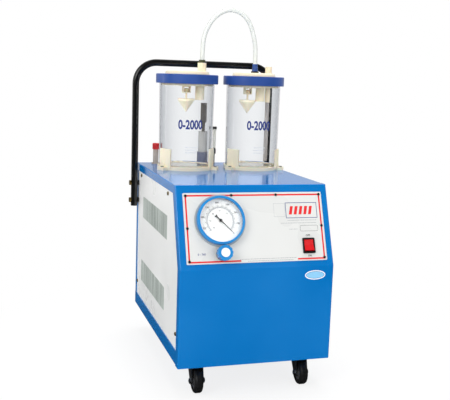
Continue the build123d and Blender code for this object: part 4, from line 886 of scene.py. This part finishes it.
numerals_v = 520.5
moulded_left = -11
moulded_low = 458
moulded_pitch = 6
moulded_height = 1.6
for side, facing in (("left", -94.3), ("right", -93.4)):
    wall = on_jar(side, facing)
    add_words(f"jar_numerals_{side}", "0-2000", 28, (0, numerals_v), wall, ink, navy_ink,
              body=f"{side}_jar", bold=0.9, wide=0.71)
    rows = []
    for row in range(3):
        start = moulded_left
        for length in (4.2, 2.6, 5.6, 3.4, 4.8)[row:] + (3.1, 5.2)[:row]:
            low, end = moulded_low + moulded_pitch * row, start + length
            high = low + moulded_height
            rows.append([(start, low), (end, low), (end, high), (start, high)])
            start = end + 1.4
    add_shapes(f"jar_moulded_rows_{side}", rows, wall, ink, pale_ink, body=f"{side}_jar")
print("jar marks at", round(jar_middles["left"][0]), round(jar_middles["right"][0]))

# %% [markdown]
# Small things that are too fine for the CAD model are laid on it. Between the slots of each side grille
# stands a slat of grey-green aluminium, and behind them hangs a dark sheet of painted shade for the shadow
# in the slots. Slats and shade sheet are plain boxes, placed from the panel's own box.

# %% Grilles
grille_paint, slat_tree, slat_shader = start_material("grey-green painted slats")
upright_bands = noise_at(slat_tree, place_of(slat_tree), 11 * MM, 3, (1, 1, 14))
slat_tree.links.new(tint(slat_tree, upright_bands, "#87928B", "#C3CBC6"), slat_shader.inputs["Base Color"])
slat_tree.links.new(spread(slat_tree, upright_bands, 0.4, 0.55), slat_shader.inputs["Roughness"])
# The dark sheet behind the slots is painted shade: it stands for the shadow inside the cabinet seen through
# the slots.
painted_slot_shade = moulded("dark painted shade behind grille slots", "#2C3330", "#39413D", 0.7)
slot_width, slot_pitch, slot_count, grille_height = 3, 8.6, 30, 50
grilles = {"upper": (21, 320), "lower": (36, 165)}
slat_proud = 0.5
slot_shade_outer, slot_shade_inner, slot_shade_margin = 2.2, 2.6, 3


def add_boxes(name, boxes, material, body="cabinet"):
    """One mesh of plain boxes, each given by its low and high corners in millimetres."""
    corners, polygons = [], []
    for low, high in boxes:
        first = len(corners)
        corners += [
            (x * MM, y * MM, z * MM)
            for z in (low[2], high[2]) for x, y in (
                (low[0], low[1]), (high[0], low[1]), (high[0], high[1]), (low[0], high[1]),
            )
        ]
        polygons += [
            tuple(first + i for i in quad)
            for quad in ((3, 2, 1, 0), (4, 5, 6, 7), (0, 1, 5, 4), (1, 2, 6, 5), (2, 3, 7, 6), (3, 0, 4, 7))
        ]
    mesh = bpy.data.meshes.new(name)
    mesh.from_pydata(corners, [], polygons)
    mesh.materials.append(material)
    piece = bpy.data.objects.new(name, mesh)
    bpy.context.scene.collection.objects.link(piece)
    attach(piece, body)
    return piece


slat_half = (slot_pitch - slot_width) / 2
for side_name, side in (("left", -1), ("right", 1)):
    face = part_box(f"side_panel_{side_name}")[0 if side < 0 else 1][0] / MM
    for grille_name, (grille_y, grille_z) in grilles.items():
        low_z, high_z = grille_z - grille_height / 2, grille_z + grille_height / 2
        first_y = grille_y - slot_pitch * slot_count / 2
        ends = sorted((face, face + side * slat_proud))
        slats = [
            ((ends[0], max(first_y, first_y + slot_pitch * i - slat_half), low_z),
             (ends[1], min(first_y + slot_pitch * slot_count, first_y + slot_pitch * i + slat_half), high_z))
            for i in range(slot_count + 1)
        ]
        add_boxes(f"grille_slats_{side_name}_{grille_name}", slats, grille_paint)
        behind = sorted((face - side * slot_shade_outer, face - side * slot_shade_inner))
        add_boxes(
            f"grille_slot_shade_{side_name}_{grille_name}",
            [((behind[0], first_y, low_z - slot_shade_margin),
              (behind[1], first_y + slot_pitch * slot_count, high_z + slot_shade_margin))],
            painted_slot_shade,
        )
print("slats in a grille", slot_count + 1)

# %% [markdown]
# The screws of the side panels and the cradles have crossed recesses, shown as flat black crosses of
# painted shade laid on their heads. A node holds all its screws, so each one is found as a loose piece of
# that node's mesh, and its cross stays centred on it.

# %% Screw recesses in painted shade
def loose_boxes(name):
    """The low and high corners of each loose piece of a node's mesh, in millimetres."""
    mesh = nodes[name].data
    group = list(range(len(mesh.vertices)))

    def root(i):
        while group[i] != i:
            group[i] = group[group[i]]
            i = group[i]
        return i

    for edge in mesh.edges:
        a, b = (root(i) for i in edge.vertices)
        group[a] = b
    pieces = {}
    for vertex in mesh.vertices:
        pieces.setdefault(root(vertex.index), []).append(vertex.co / MM)
    return [
        (Vector(min(p[k] for p in points) for k in range(3)),
         Vector(max(p[k] for p in points) for k in range(3)))
        for points in pieces.values()
    ]


def cross(reach, width):
    """The two bars of a crossed recess."""
    half = width / 2
    return [
        [(-reach, -half), (reach, -half), (reach, half), (-reach, half)],
        [(-half, -reach), (half, -reach), (half, reach), (-half, reach)],
    ]


# The crosses are painted shade, black where the recess lies in shadow, made with the ink recipe.
recess_painted_shade = printing_ink("shadowed recess", "#0A0A0B", "#111112", 0.7)
recesses = 0
for low, high in loose_boxes("panel_screws"):
    middle = (low + high) / 2
    side = 1 if middle.x > 0 else -1
    face = high.x if side > 0 else low.x

    def beside(u, v, h=0.0, face=face, side=side, middle=middle):
        return Vector((face + side * h, middle.y + u, middle.z + v)) * MM

    add_shapes(f"panel_screw_recess_shade_{recesses}", cross(1.9, 0.8), beside, ink, recess_painted_shade)
    recesses += 1
for low, high in loose_boxes("cradle_screws"):
    middle = (low + high) / 2

    def above(u, v, h=0.0, high=high, middle=middle):
        return Vector((middle.x + u, middle.y + v, high.z + h)) * MM

    add_shapes(f"cradle_screw_recess_shade_{recesses}", cross(2.2, 0.9), above, ink, recess_painted_shade)
    recesses += 1
print("recesses", recesses)
